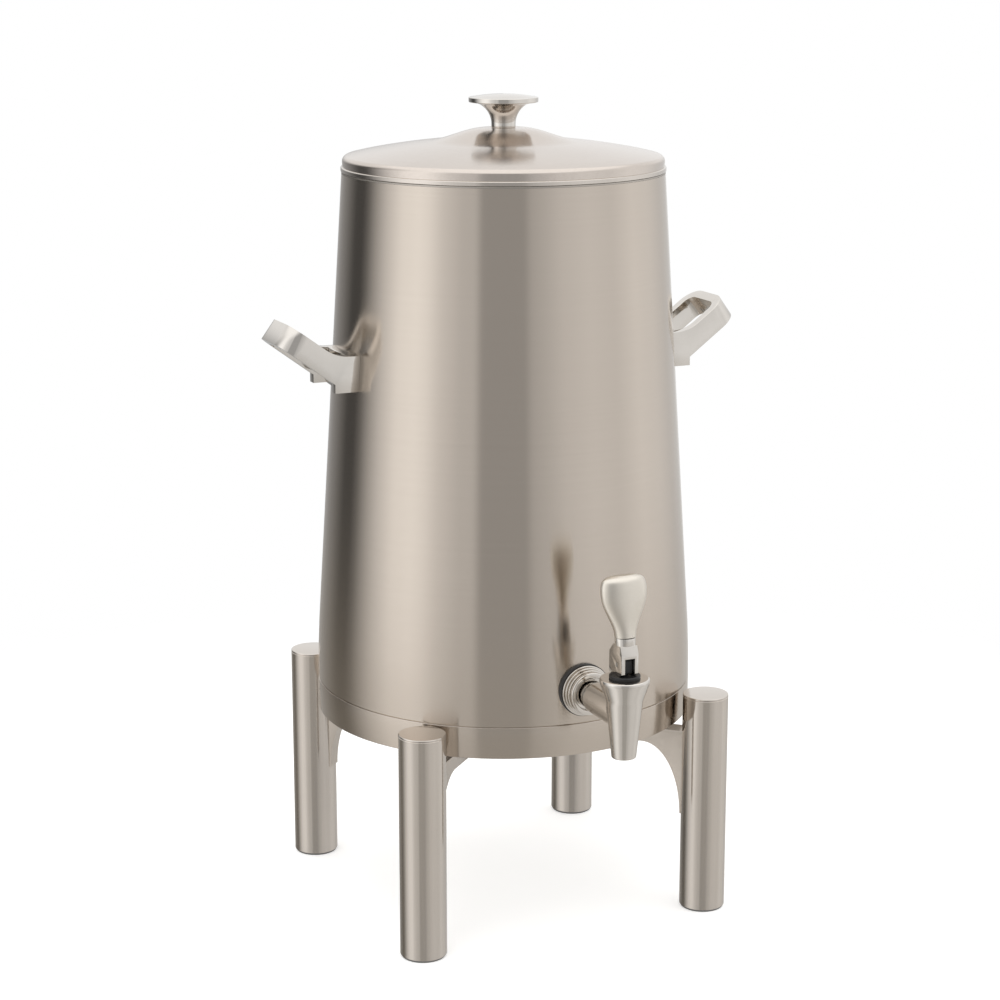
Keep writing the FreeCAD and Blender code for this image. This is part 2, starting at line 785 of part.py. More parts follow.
def make_seat_cup():
    """Silicone seal on the stem's foot, with a pocket for the spring."""
    radius = chamber_radius - cup_seal_clearance
    low = seat_z + seat_clearance
    high = low + cup_seal_height
    edge = cup_seal_edge
    seal = turned((0, low), [(radius - edge, low), (radius, low + edge), (radius, high), (0, high)])
    pocket = upright(radius - cup_seal_wall, high - spring_pocket, high)
    hole = upright(stem_radius, low + cup_seal_floor, high)
    return at_faucet(seal.cut(pocket).cut(hole))


def make_valve_stem():
    """Stem with a flat eye on top for the lever's pin."""
    low = seat_z + seat_clearance + cup_seal_floor
    rod = upright(stem_radius, low, pin_z - stem_head_drop + stem_radius / 2)
    half_x = stem_head_width / 2
    half_y = stem_head_depth / 2
    low_z = pin_z - stem_head_drop
    head = slab(-half_x, half_x, -half_y, half_y, low_z, pin_z + stem_head_top - half_y)
    crown = along_x(half_y, -half_x, half_x, 0, pin_z + stem_head_top - half_y)
    stem = rod.fuse(head).fuse(crown).removeSplitter()
    return at_faucet(stem.cut(along_x(pin_radius, -half_x, half_x, 0, pin_z)))


def arc_edge(start, corner, end):
    """The arc from start to end whose tangents meet at the corner."""
    middle = (start + end) * 0.5
    half_turn = (corner - start).getAngle(end - start)
    return Part.Arc(start, middle + (corner - middle) * (math.tan(half_turn / 2) / math.tan(half_turn)),
                    end).toShape()


def helix_wire(radius, pitch, quarters, z_low):
    """A rising coil as pairs of arcs, a quarter turn to each pair."""
    rise = pitch / (2 * math.pi)
    edges = []
    for index in range(quarters):
        ends = []
        for step in (index, index + 1):
            angle = step * math.pi / 2
            place = Vector(radius * math.cos(angle), radius * math.sin(angle), z_low + rise * angle)
            heading = Vector(-radius * math.sin(angle), radius * math.cos(angle), rise)
            ends.append((place, heading.normalize()))
        (first, out), (last, into) = ends
        gap = last - first
        square = 2 * (1 - out.dot(into))
        across = gap.dot(out + into)
        reach = (math.sqrt(across ** 2 + square * gap.dot(gap)) - across) / square
        corner_a = first + out * reach
        corner_b = last - into * reach
        joint = (corner_a + corner_b) * 0.5
        edges.append(arc_edge(first, corner_a, joint))
        edges.append(arc_edge(joint, corner_b, last))
    return Part.Wire(edges)


def make_valve_spring():
    """Closing spring between the seal's pocket and the underside of the bonnet."""
    wire = spring_wire / 2
    radius = chamber_radius - cup_seal_clearance - cup_seal_wall - spring_clearance - wire
    low = seat_z + seat_clearance + cup_seal_height - spring_pocket + wire + spring_end_gap
    high = chamber_top_z - wire - spring_end_gap
    pitch = (high - low) / spring_turns
    path = helix_wire(radius, pitch, 4 * spring_turns, low)
    heading = Vector(0, radius, pitch / (2 * math.pi)).normalize()
    ring = Part.Wire(Part.makeCircle(wire, Vector(radius, 0, low), heading))
    print("spring: least gap between turns", round(pitch * math.cos(math.atan2(heading.z, heading.y))
                                                   - spring_wire, 2), "mm")
    return at_faucet(path.makePipeShell([ring], True, False))


def make_lever_pin():
    half = yoke_width / 2
    return at_faucet(along_x(pin_radius, -half, half, 0, pin_z))


def heel_point(angle):
    """Point of the lever's heel that bears on the bonnet at a tilt, from the pin."""
    reach = pin_over_bonnet - heel_clearance + lift_per_radian * angle
    forward = reach * math.sin(angle) + lift_per_radian * math.cos(angle)
    upward = -reach * math.cos(angle) + lift_per_radian * math.sin(angle)
    return forward, upward


def oval(width, depth, z):
    """A level ellipse, longer across the faucet than along it."""
    return Part.Wire(Part.Ellipse(Vector(0, 0, z), width / 2, depth / 2).toShape())


def make_lever_yoke():
    """Fork over the stem's eye, with a heel that lifts the stem as the lever tilts."""
    tilt = math.radians(lever_range_deg)
    heel = [heel_point(tilt * step / heel_steps) for step in range(heel_steps + 1)]
    curve = Part.BSplineCurve()
    curve.interpolate([Vector(-forward, 0, upward) for forward, upward in heel])
    front = heel[-1][0]
    low = heel[0][1]
    top = low + yoke_height
    flat = yoke_flat / 2
    wire = closed_wire((yoke_back, low), [
        (-heel[0][0], low), (curve.toShape(), (-front, heel[-1][1])),
        (-front, top - yoke_chamfer), (-flat, top), (flat, top), (yoke_back, top - yoke_back_chamfer)])
    block = Part.Face(wire).extrude(Vector(0, yoke_width, 0)).translated(Vector(0, -yoke_width / 2, 0))
    block.rotate(Vector(), UP, 90)
    block = block.translated(Vector(0, 0, pin_z))
    slot_half = stem_head_width / 2 + yoke_slot_clearance
    slot = slab(-slot_half, slot_half, -front - yoke_width, yoke_back + yoke_width,
                pin_z + low - yoke_width, pin_z + yoke_slot_top)
    yoke = block.cut(slot).cut(along_x(pin_radius + pin_clearance, -yoke_width, yoke_width, 0, pin_z))
    neck = oval(grip_neck_width - neck_inset, grip_neck_depth - neck_inset, pin_z + top)
    neck = Part.Face(neck).extrude(UP * neck_height)
    stud = upright(stud_radius, grip_base_z - stud_root, grip_base_z + stud_length)
    stud.rotate(Vector(0, 0, grip_base_z), Vector(1, 0, 0), -grip_lean_deg)
    return at_faucet(yoke.fuse(neck).fuse(stud).removeSplitter())


def make_lever_grip():
    """Flattened bulb on the lever, leaning back a little over the body."""
    base = grip_base_z
    widest_z = base + grip_length * grip_widest
    rings = []
    for step in range(grip_rings):
        share = step / grip_rings
        swell = share * share * (3 - 2 * share)
        rings.append(oval(grip_neck_width + (grip_width - grip_neck_width) * swell,
                          grip_neck_depth + (grip_depth - grip_neck_depth) * swell,
                          base + (widest_z - base) * share))
    for step in range(grip_rings + 1):
        turn = math.radians(grip_crown_turn_deg * step / grip_rings)
        rise = math.sin(turn) ** (2 / grip_width_squareness)
        rings.append(oval(grip_width * math.cos(turn) ** (2 / grip_width_squareness),
                          grip_depth * math.cos(turn) ** (2 / grip_depth_squareness),
                          widest_z + (base + grip_length - widest_z) * rise))
    bulb = Part.makeLoft(rings, True, False)
    bulb = bulb.cut(upright(stud_radius, base - stud_root, base + stud_length))
    bulb.rotate(Vector(0, 0, base), Vector(1, 0, 0), -grip_lean_deg)
    below = slab(-grip_width, grip_width, -grip_width, grip_width, base - stud_length, base)
    return at_faucet(bulb.cut(below))


def dome_z(radius):
    """Height of the lid's upper face: a shallow dome with a raised boss for the knob."""
    edge = shell_radius(body_top_z) + lid_overhang
    share = min(max((hump_outer - radius) / (hump_outer - hump_inner), 0.0), 1.0)
    hump = hump_height * share * share * (3 - 2 * share)
    return collar_top_z + lid_rise - lid_sag * (radius / edge) ** 2 + hump


def dome_curve(lower, start, end):
    """The dome's section from one radius to another, lowered by an amount, and where it ends."""
    places = [start + (end - start) * step / dome_samples for step in range(dome_samples + 1)]
    curve = Part.BSplineCurve()
    curve.interpolate([Vector(place, 0, dome_z(place) - lower) for place in places])
    return curve.toShape(), (end, dome_z(end) - lower)


def lid_edge():
    """Radius of the lid and the height of its lower edge."""
    return shell_radius(body_top_z) + lid_overhang, collar_top_z + lid_clearance


def make_lid_cover():
    """Spun cover: eased hem, upright band, rounded shoulder, shallow dome and raised centre."""
    edge, low = lid_edge()
    band_z = low + lid_band_height
    shoulder = edge - lid_corner
    inner_edge = edge - lid_sheet
    flat = hump_inner
    inner_top = dome_z(flat) - lid_sheet
    under_z = dome_z(shoulder) - lid_sheet
    outer_bend = (shoulder + lid_corner * halfway, band_z + (dome_z(shoulder) - band_z) * halfway)
    inner_bend = (shoulder + (lid_corner - lid_sheet) * halfway, band_z + (under_z - band_z) * halfway)
    hem = ((edge - lid_hem * eased, low + lid_hem * eased), (edge, low + lid_hem))
    cover = turned((edge - lid_hem, low), [
        hem, (edge, band_z), (outer_bend, (shoulder, dome_z(shoulder))), dome_curve(0, shoulder, flat),
        (0, dome_z(flat)), (0, inner_top), (flat, inner_top), dome_curve(lid_sheet, flat, shoulder),
        (inner_bend, (inner_edge, band_z)), (inner_edge, low)])
    return cover.cut(upright(screw_radius + hole_clearance, inner_top - lid_sheet, dome_z(flat) + lid_sheet))


def make_lid_liner():
    """Inner pan of the lid, which drops into the vessel's mouth."""
    edge, low = lid_edge()
    plug = vessel_radius(body_top_z) - vessel_wall - liner_clearance
    flange_z = low + liner_flange_lift
    flange_outer = edge - lid_sheet - flange_gap
    bottom = collar_top_z - liner_depth
    round_off = liner_corner
    lean = round_off * eased
    inner_round = round_off - liner_sheet
    inner_lean = inner_round * eased
    inner = plug - liner_sheet
    return turned((0, bottom), [
        (plug - round_off, bottom), ((plug - lean, bottom + lean), (plug, bottom + round_off)),
        (plug, flange_z), (flange_outer, flange_z), (flange_outer, flange_z + liner_sheet),
        (inner, flange_z + liner_sheet), (inner, bottom + round_off),
        ((inner - inner_lean, bottom + liner_sheet + inner_lean),
         (inner - inner_round, bottom + liner_sheet)),
        (0, bottom + liner_sheet)])


def make_lid_gasket():
    """Silicone ring under the lid's flange, which seals on the rim collar."""
    edge, low = lid_edge()
    outer = edge - lid_sheet - lid_gasket_inset
    inner = outer - lid_gasket_width
    flange_z = low + liner_flange_lift
    soft = collar_top_z + flange_gap
    run = lid_gasket_edge * 2
    bend = run * eased
    bulge = soft + lid_gasket_bulge
    return turned((inner, soft + lid_gasket_edge), [
        ((inner + bend, bulge), (inner + run, soft)), (outer - run, soft),
        ((outer - bend, bulge), (outer, soft + lid_gasket_edge)), (outer, flange_z), (inner, flange_z)])


def make_lid_insulation():
    """Foam disc between the lid's cover and its liner."""
    plug = vessel_radius(body_top_z) - vessel_wall - liner_clearance - liner_sheet - lid_fill_clearance
    bottom = collar_top_z - liner_depth + liner_sheet
    outer = plug - lid_fill_chamfer
    top_lower = lid_sheet + lid_fill_clearance
    return turned((lid_fill_hole, bottom), [
        (outer, bottom), (plug, bottom + liner_corner), (plug, dome_z(plug) - top_lower),
        dome_curve(top_lower, plug, lid_fill_hole)])


def make_lid_knob():
    """Turned knob: straight stem, hollow flare and a broad, slightly domed cap."""
    base = dome_z(hump_inner)
    waist = base + knob_stem_height
    flare = waist + knob_flare_height
    rim = flare + knob_rim_height
    lip = knob_radius - knob_rim_round
    reach = lip - knob_stem_radius
    bend = (lip - reach * halfway, waist + knob_flare_height * halfway)
    curl = knob_rim_round * eased
    ball = (lip ** 2 + knob_dome ** 2) / (2 * knob_dome)
    crest = (lip / 2, rim + knob_dome - ball + math.sqrt(ball ** 2 - (lip / 2) ** 2))
    knob = turned((0, base), [
        (knob_stem_radius - knob_foot_edge, base), (knob_stem_radius, base + knob_foot_edge),
        (knob_stem_radius, waist),
        (bend, (lip, flare)), ((knob_radius - curl, flare + curl), (knob_radius, flare + knob_rim_round)),
        (knob_radius, rim - knob_rim_round), ((knob_radius - curl, rim - curl), (lip, rim)),
        (crest, (0, rim + knob_dome))])
    return knob.cut(upright(screw_radius, base, base + knob_screw_depth))


def make_knob_washer():
    top = dome_z(hump_inner) - lid_sheet
    ring = upright(washer_radius, top - washer_thickness, top)
    return ring.cut(upright(screw_radius + hole_clearance, top - 2 * washer_thickness, top))


def make_knob_screw():
    seat = dome_z(hump_inner) - lid_sheet - washer_thickness
    length = lid_sheet + washer_thickness + knob_screw_depth - knob_screw_gap
    one = screw(screw_radius, screw_head_radius, screw_head_height, length)
    one.rotate(Vector(), Vector(1, 0, 0), 180)
    return one.translated(Vector(0, 0, seat))


def keep(name, shape):
    """Write one sub-part, moved to the urn's own frame."""
    solids = shape.Solids
    if not solids:
        raise ValueError(name + " has no solid")
    for solid in solids:
        if not solid.isValid():
            raise ValueError(name + " is not valid")
    whole = solids[0] if len(solids) == 1 else Part.Compound(solids)
    whole = whole.translated(Vector(0, axis_y, 0))
    whole.exportStep("parts/" + name + ".step")


os.makedirs("parts", exist_ok=True)

keep("outer_shell", make_outer_shell())
keep("inner_vessel", make_inner_vessel())
keep("insulation_jacket", make_insulation_jacket())
keep("insulation_pad", make_insulation_pad())
keep("rim_collar", make_rim_collar())
keep("base_band", make_base_band())
keep("base_plate", make_base_plate())
keep("base_plate_screws", make_base_plate_screws())

handle = make_handle()
keep("handle_right", handle)
keep("handle_left", turned_to(handle, 180))
keep("handle_backing_plates", make_handle_backing_plates())
keep("handle_screws", make_handle_screws())

leg_pieces = {"leg": make_leg(), "leg_cap": make_leg_cap(), "foot_glide": make_foot_glide(),
              "leg_bracket": make_leg_bracket()}
for corner, angle in leg_angles.items():
    for piece, solid in leg_pieces.items():
        keep(piece + "_" + corner, turned_to(solid, angle))
keep("bracket_screws", make_bracket_screws())

keep("faucet_shank", make_faucet_shank())
keep("shank_nut", make_shank_nut())
keep("shank_inner_gasket", make_shank_inner_gasket())
keep("shank_outer_gasket", make_shank_outer_gasket())
keep("faucet_collar", make_faucet_collar())
keep("faucet_body", make_faucet_body())
keep("bonnet_gasket", make_bonnet_gasket())
keep("bonnet", make_bonnet())
keep("seat_cup", make_seat_cup())
keep("valve_stem", make_valve_stem())
keep("valve_spring", make_valve_spring())
keep("lever_pin", make_lever_pin())
keep("lever_yoke", make_lever_yoke())
keep("lever_grip", make_lever_grip())

keep("lid_cover", make_lid_cover())
keep("lid_liner", make_lid_liner())
keep("lid_insulation", make_lid_insulation())
keep("lid_gasket", make_lid_gasket())
keep("lid_knob", make_lid_knob())
keep("knob_washer", make_knob_washer())
keep("knob_screw", make_knob_screw())
print("urn axis lies", round(axis_y, 2), "mm behind the origin")
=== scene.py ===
import json
import math

import bmesh
import bpy
from mathutils import Matrix, Vector


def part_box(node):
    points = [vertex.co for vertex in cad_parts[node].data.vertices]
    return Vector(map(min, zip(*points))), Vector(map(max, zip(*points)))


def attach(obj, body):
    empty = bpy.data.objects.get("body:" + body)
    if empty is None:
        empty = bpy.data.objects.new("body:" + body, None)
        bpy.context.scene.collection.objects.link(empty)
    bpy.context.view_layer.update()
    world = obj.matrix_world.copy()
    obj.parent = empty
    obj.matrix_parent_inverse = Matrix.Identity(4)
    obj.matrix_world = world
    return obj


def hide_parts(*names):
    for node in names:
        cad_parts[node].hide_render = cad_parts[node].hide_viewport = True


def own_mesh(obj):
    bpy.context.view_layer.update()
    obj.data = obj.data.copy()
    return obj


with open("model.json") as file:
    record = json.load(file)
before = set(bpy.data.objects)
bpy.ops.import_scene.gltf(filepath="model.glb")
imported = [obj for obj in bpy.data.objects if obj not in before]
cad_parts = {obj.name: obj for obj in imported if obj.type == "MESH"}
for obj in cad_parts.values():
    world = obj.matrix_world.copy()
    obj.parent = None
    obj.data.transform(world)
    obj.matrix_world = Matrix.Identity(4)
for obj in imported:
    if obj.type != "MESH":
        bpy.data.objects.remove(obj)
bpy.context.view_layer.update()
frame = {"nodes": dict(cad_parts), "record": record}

mm = 0.001
weldGap = 0.000002  # points closer than this, in metres, become one
nodes = frame["nodes"]
legCorners = {"front_left": 225, "front_right": 315, "back_left": 135, "back_right": 45}


def middleOf(node, along):
    # the middle of a CAD node along one of the three directions, in mm
    low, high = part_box(node)
    return (low[along] + high[along]) / 2 / mm


def linear(hexText):
    # sRGB hex to the linear colour that a shader wants
    parts = [int(hexText[i:i + 2], 16) / 255 for i in (1, 3, 5)]
    return tuple(v / 12.92 if v <= 0.04045 else ((v + 0.055) / 1.055) ** 2.4 for v in parts) + (1.0,)


def addNode(tree, kind, settings=None, feeds=None):
    node = tree.nodes.new(kind)
    for name, value in (settings or {}).items():
        setattr(node, name, value)
    for key, value in (feeds or {}).items():
        if isinstance(value, bpy.types.NodeSocket):
            tree.links.new(value, node.inputs[key])
        else:
            node.inputs[key].default_value = value
    return node


# finishes

metalLooks = {
    # spun 18/8 stainless, belt-brushed round the body: soft up and down, crisp from side to side
    "brushedStainless": {"light": "#CDC3B8", "dark": "#C4BAAF", "rough": (0.15, 0.2), "stretch": (3, 3, 1250),
                         "bump": 0.012, "aniso": 0.9, "smudge": 9},
    # spun lid, finer lines that run round the centre, with a satin sheen
    "satinLid": {"light": "#DAD1C9", "dark": "#CBC1B8", "rough": (0.15, 0.21), "stretch": (420, 420, 420),
                 "bump": 0.01, "aniso": 0.4, "smudge": 14},
    # drawn tube, polished along its length, with faint draw lines
    "polishedTube": {"light": "#D9D2CA", "dark": "#CBC3BB", "rough": (0.1, 0.16), "stretch": (900, 900, 12),
                     "bump": 0.02, "aniso": 0.0, "smudge": 18},
    # mill-finish sheet inside and under the urn, dull and even
    "millStainless": {"light": "#C4BDB5", "dark": "#AFA8A0", "rough": (0.34, 0.46), "stretch": (60, 60, 400),
                      "bump": 0.03, "aniso": 0.0, "smudge": 20},
    # cast steel tumbled and satin polished, a little wavy
    "castSteel": {"light": "#D5CDC4", "dark": "#C3BAB0", "rough": (0.2, 0.3), "stretch": (160, 160, 160),
                  "bump": 0.05, "aniso": 0.0, "smudge": 40},
    # chromium over polished brass: near mirror, a little warm in this light
    "brightChrome": {"light": "#DFDAD4", "dark": "#D5D0C9", "rough": (0.05, 0.1), "stretch": (220, 220, 220),
                     "bump": 0.012, "aniso": 0.0, "smudge": 60},
    # nickel blasted and lacquered: pearly and pale
    "satinNickel": {"light": "#E9E3D9", "dark": "#DCD5CA", "rough": (0.3, 0.38), "stretch": (500, 500, 500),
                    "bump": 0.02, "aniso": 0.0, "smudge": 60},
    # bright zinc on small steel parts
    "zincSteel": {"light": "#C9C9C8", "dark": "#A9A9A6", "rough": (0.25, 0.4), "stretch": (700, 700, 700),
                  "bump": 0.05, "aniso": 0.0, "smudge": 90},
}

plainLooks = {
    # injection-moulded polypropylene, faintly pebbled
    "blackPlastic": {"light": "#222122", "dark": "#161516", "rough": (0.35, 0.5), "grain": 900, "bump": 0.15,
                     "sheen": 0.0, "ior": 1.49},
    # moulded EPDM washer, dusty matt black
    "blackRubber": {"light": "#262524", "dark": "#181717", "rough": (0.6, 0.78), "grain": 1300, "bump": 0.2,
                    "sheen": 0.15, "ior": 1.52},
    # translucent food silicone, milky and soft
    "milkySilicone": {"light": "#E4E1DA", "dark": "#D2CEC6", "rough": (0.4, 0.52), "grain": 400, "bump": 0.08,
                      "sheen": 0.1, "ior": 1.41},
    # turned grey nylon glide, waxy
    "greyNylon": {"light": "#7C7B79", "dark": "#6A6967", "rough": (0.42, 0.55), "grain": 700, "bump": 0.1,
                  "sheen": 0.0, "ior": 1.53},
    # sawn rigid foam, open cells about a millimetre across
    "rigidFoam": {"light": "#E8DDB8", "dark": "#CDBE92", "rough": (0.8, 0.95), "grain": 900, "bump": 0.5,
                  "sheen": 0.0, "ior": 1.45},
}


smudgeShare = 0.45  # of a metal's tone, from its broad smudges
grainShare = 0.55  # and from its fine lines


def newMaterial(name):
    material = bpy.data.materials.new(name)
    material.use_nodes = True
    tree = material.node_tree
    tree.nodes.clear()
    shader = addNode(tree, "ShaderNodeBsdfPrincipled")
    addNode(tree, "ShaderNodeOutputMaterial", None, {"Surface": shader.outputs["BSDF"]})
    return material, tree, shader


def makeMetal(name, look):
    material, tree, shader = newMaterial(name)
    place = addNode(tree, "ShaderNodeTexCoord")
    lines = addNode(tree, "ShaderNodeMapping", None,
                    {"Vector": place.outputs["Object"], "Scale": look["stretch"]})
    grain = addNode(tree, "ShaderNodeTexNoise", {"noise_dimensions": "3D"},
                    {"Vector": lines.outputs["Vector"], "Scale": 1.0, "Detail": 3.0, "Roughness": 0.6})
    smudge = addNode(tree, "ShaderNodeTexNoise", {"noise_dimensions": "3D"},
                     {"Vector": place.outputs["Object"], "Scale": look["smudge"], "Detail": 2.0})
    blend = addNode(tree, "ShaderNodeMath", {"operation": "MULTIPLY_ADD"},
                    {0: smudge.outputs["Fac"], 1: smudgeShare, 2: 0.0})
    share = addNode(tree, "ShaderNodeMath", {"operation": "MULTIPLY_ADD", "use_clamp": True},
                    {0: grain.outputs["Fac"], 1: grainShare, 2: blend.outputs[0]})
    tint = addNode(tree, "ShaderNodeMix", {"data_type": "RGBA"},
                   {"Factor": share.outputs[0], 6: linear(look["light"]), 7: linear(look["dark"])})
    low, high = look["rough"]
    rough = addNode(tree, "ShaderNodeMapRange", None,
                    {"Value": share.outputs[0], "To Min": low, "To Max": high})
    bump = addNode(tree, "ShaderNodeBump", None,
                   {"Strength": look["bump"], "Distance": 0.0002, "Height": grain.outputs["Fac"]})
    tree.links.new(tint.outputs[2], shader.inputs["Base Color"])
    tree.links.new(rough.outputs["Result"], shader.inputs["Roughness"])
    tree.links.new(bump.outputs["Normal"], shader.inputs["Normal"])
    shader.inputs["Metallic"].default_value = 1.0
    if look["aniso"]:
        shader.inputs["Anisotropic"].default_value = look["aniso"]
        shader.inputs["Anisotropic Rotation"].default_value = 0.25
        around = addNode(tree, "ShaderNodeTangent", {"direction_type": "RADIAL", "axis": "Z"})
        tree.links.new(around.outputs["Tangent"], shader.inputs["Tangent"])
    return material


def makePlain(name, look):
    material, tree, shader = newMaterial(name)
    place = addNode(tree, "ShaderNodeTexCoord")
    grain = addNode(tree, "ShaderNodeTexNoise", {"noise_dimensions": "3D"},
                    {"Vector": place.outputs["Object"], "Scale": look["grain"], "Detail": 2.0})
    tint = addNode(tree, "ShaderNodeMix", {"data_type": "RGBA"},
                   {"Factor": grain.outputs["Fac"], 6: linear(look["light"]), 7: linear(look["dark"])})
    low, high = look["rough"]
    rough = addNode(tree, "ShaderNodeMapRange", None,
                    {"Value": grain.outputs["Fac"], "To Min": low, "To Max": high})
    bump = addNode(tree, "ShaderNodeBump", None,
                   {"Strength": look["bump"], "Distance": 0.0003, "Height": grain.outputs["Fac"]})
    tree.links.new(tint.outputs[2], shader.inputs["Base Color"])
    tree.links.new(rough.outputs["Result"], shader.inputs["Roughness"])
    tree.links.new(bump.outputs["Normal"], shader.inputs["Normal"])
    shader.inputs["IOR"].default_value = look["ior"]
    shader.inputs["Sheen Weight"].default_value = look["sheen"]
    return material


finishes = {name: makeMetal(name, look) for name, look in metalLooks.items()}
finishes.update({name: makePlain(name, look) for name, look in plainLooks.items()})

slotFinish = {
    "brushed_stainless": "brushedStainless", "plain_stainless": "millStainless",
    "polished_stainless": "polishedTube", "chrome_plate": "brightChrome", "satin_nickel": "satinNickel",
    "insulating_foam": "rigidFoam", "silicone": "milkySilicone", "black_rubber": "blackRubber",
    "black_plastic": "blackPlastic", "grey_nylon": "greyNylon", "screw_steel": "zincSteel",
}
for row in frame["record"]["subparts"]:
    mesh = nodes[row["node"]].data
    mesh.materials.clear()
    mesh.materials.append(finishes[slotFinish[row["material_slot"]]])
print("finishes:", len(finishes))


# node trees that make the turned and the repeated pieces

def newTree(name, inputs):
    tree = bpy.data.node_groups.new(name, "GeometryNodeTree")
    tree.interface.new_socket("Geometry", in_out="INPUT", socket_type="NodeSocketGeometry")
    for label, kind in inputs:
        tree.interface.new_socket(label, in_out="INPUT", socket_type="NodeSocket" + kind)
    tree.interface.new_socket("Geometry", in_out="OUTPUT", socket_type="NodeSocketGeometry")
    return tree, addNode(tree, "NodeGroupInput")


def finishTree(tree, source, geometry):
    # every tree ends in real geometry with one finish
    real = addNode(tree, "GeometryNodeRealizeInstances", None, {"Geometry": geometry})
    painted = addNode(tree, "GeometryNodeSetMaterial", None,
                      {"Geometry": real.outputs[0], "Material": source.outputs["Finish"]})
    addNode(tree, "NodeGroupOutput", None, {0: painted.outputs[0]})
    return tree


def buildLatheTree():
    # turns a section, whose points are radius in X and height in Z, about an upright axis
    tree, source = newTree("latheSection", [("Segments", "Int"), ("Crease", "Float"), ("Centre", "Vector"),
                                            ("Finish", "Material")])
    section = source.outputs["Geometry"]
    size = addNode(tree, "GeometryNodeAttributeDomainSize", None, {"Geometry": section})
    rows = size.outputs["Point Count"]
    columns = addNode(tree, "ShaderNodeMath", {"operation": "ADD"}, {0: source.outputs["Segments"], 1: 1.0})
    grid = addNode(tree, "GeometryNodeMeshGrid", None, {"Vertices X": columns.outputs[0], "Vertices Y": rows})
    index = addNode(tree, "GeometryNodeInputIndex")
    row = addNode(tree, "ShaderNodeMath", {"operation": "MODULO"}, {0: index.outputs[0], 1: rows})
    ratio = addNode(tree, "ShaderNodeMath", {"operation": "DIVIDE"}, {0: index.outputs[0], 1: rows})
    column = addNode(tree, "ShaderNodeMath", {"operation": "FLOOR"}, {0: ratio.outputs[0]})
    turn = addNode(tree, "ShaderNodeMath", {"operation": "DIVIDE"},
                   {0: column.outputs[0], 1: source.outputs["Segments"]})
    angle = addNode(tree, "ShaderNodeMath", {"operation": "MULTIPLY"}, {0: turn.outputs[0], 1: 2 * math.pi})
    place = addNode(tree, "GeometryNodeInputPosition")
    sample = addNode(tree, "GeometryNodeSampleIndex", {"data_type": "FLOAT_VECTOR"},
                     {"Geometry": section, "Value": place.outputs[0], "Index": row.outputs[0]})
    spun = addNode(tree, "ShaderNodeVectorRotate", {"rotation_type": "Z_AXIS"},
                   {"Vector": sample.outputs[0], "Angle": angle.outputs[0]})
    moved = addNode(tree, "ShaderNodeVectorMath", {"operation": "ADD"},
                    {0: spun.outputs[0], 1: source.outputs["Centre"]})
    shaped = addNode(tree, "GeometryNodeSetPosition", None,
                     {"Geometry": grid.outputs["Mesh"], "Position": moved.outputs[0]})
    joined = addNode(tree, "GeometryNodeMergeByDistance", None,
                     {"Geometry": shaped.outputs[0], "Distance": weldGap})
    smooth = addNode(tree, "GeometryNodeSetShadeSmooth", {"domain": "FACE"},
                     {"Geometry": joined.outputs[0], "Shade Smooth": True})
    bend = addNode(tree, "GeometryNodeInputMeshEdgeAngle")
    sharp = addNode(tree, "FunctionNodeCompare", {"data_type": "FLOAT", "operation": "GREATER_THAN"},
                    {0: bend.outputs["Unsigned Angle"], 1: source.outputs["Crease"]})
    creased = addNode(tree, "GeometryNodeSetShadeSmooth", {"domain": "EDGE"},
                      {"Geometry": smooth.outputs[0], "Selection": sharp.outputs[0], "Shade Smooth": False})
    return finishTree(tree, source, creased.outputs[0])


def buildRingTree():
    # sets copies of one item round an upright axis, each turned to face outwards
    tree, source = newTree("ringOfItems", [("Count", "Int"), ("Radius", "Float"), ("Centre", "Vector"),
                                           ("Wobble", "Float"), ("Seed", "Int"), ("Finish", "Material")])
    ring = addNode(tree, "GeometryNodeMeshCircle", None,
                   {"Vertices": source.outputs["Count"], "Radius": source.outputs["Radius"]})
    index = addNode(tree, "GeometryNodeInputIndex")
    turn = addNode(tree, "ShaderNodeMath", {"operation": "DIVIDE"},
                   {0: index.outputs[0], 1: source.outputs["Count"]})
    angle = addNode(tree, "ShaderNodeMath", {"operation": "MULTIPLY"}, {0: turn.outputs[0], 1: 2 * math.pi})
    loose = addNode(tree, "FunctionNodeRandomValue", {"data_type": "FLOAT"},
                    {2: 0.0, 3: source.outputs["Wobble"], "Seed": source.outputs["Seed"]})
    facing = addNode(tree, "ShaderNodeMath", {"operation": "ADD"}, {0: angle.outputs[0], 1: loose.outputs[1]})
    spin = addNode(tree, "ShaderNodeCombineXYZ", None, {"Z": facing.outputs[0]})
    copies = addNode(tree, "GeometryNodeInstanceOnPoints", None,
                     {"Points": ring.outputs["Mesh"], "Instance": source.outputs["Geometry"],
                      "Rotation": spin.outputs[0]})
    moved = addNode(tree, "GeometryNodeTransform", None,
                    {"Geometry": copies.outputs[0], "Translation": source.outputs["Centre"]})
    return finishTree(tree, source, moved.outputs[0])


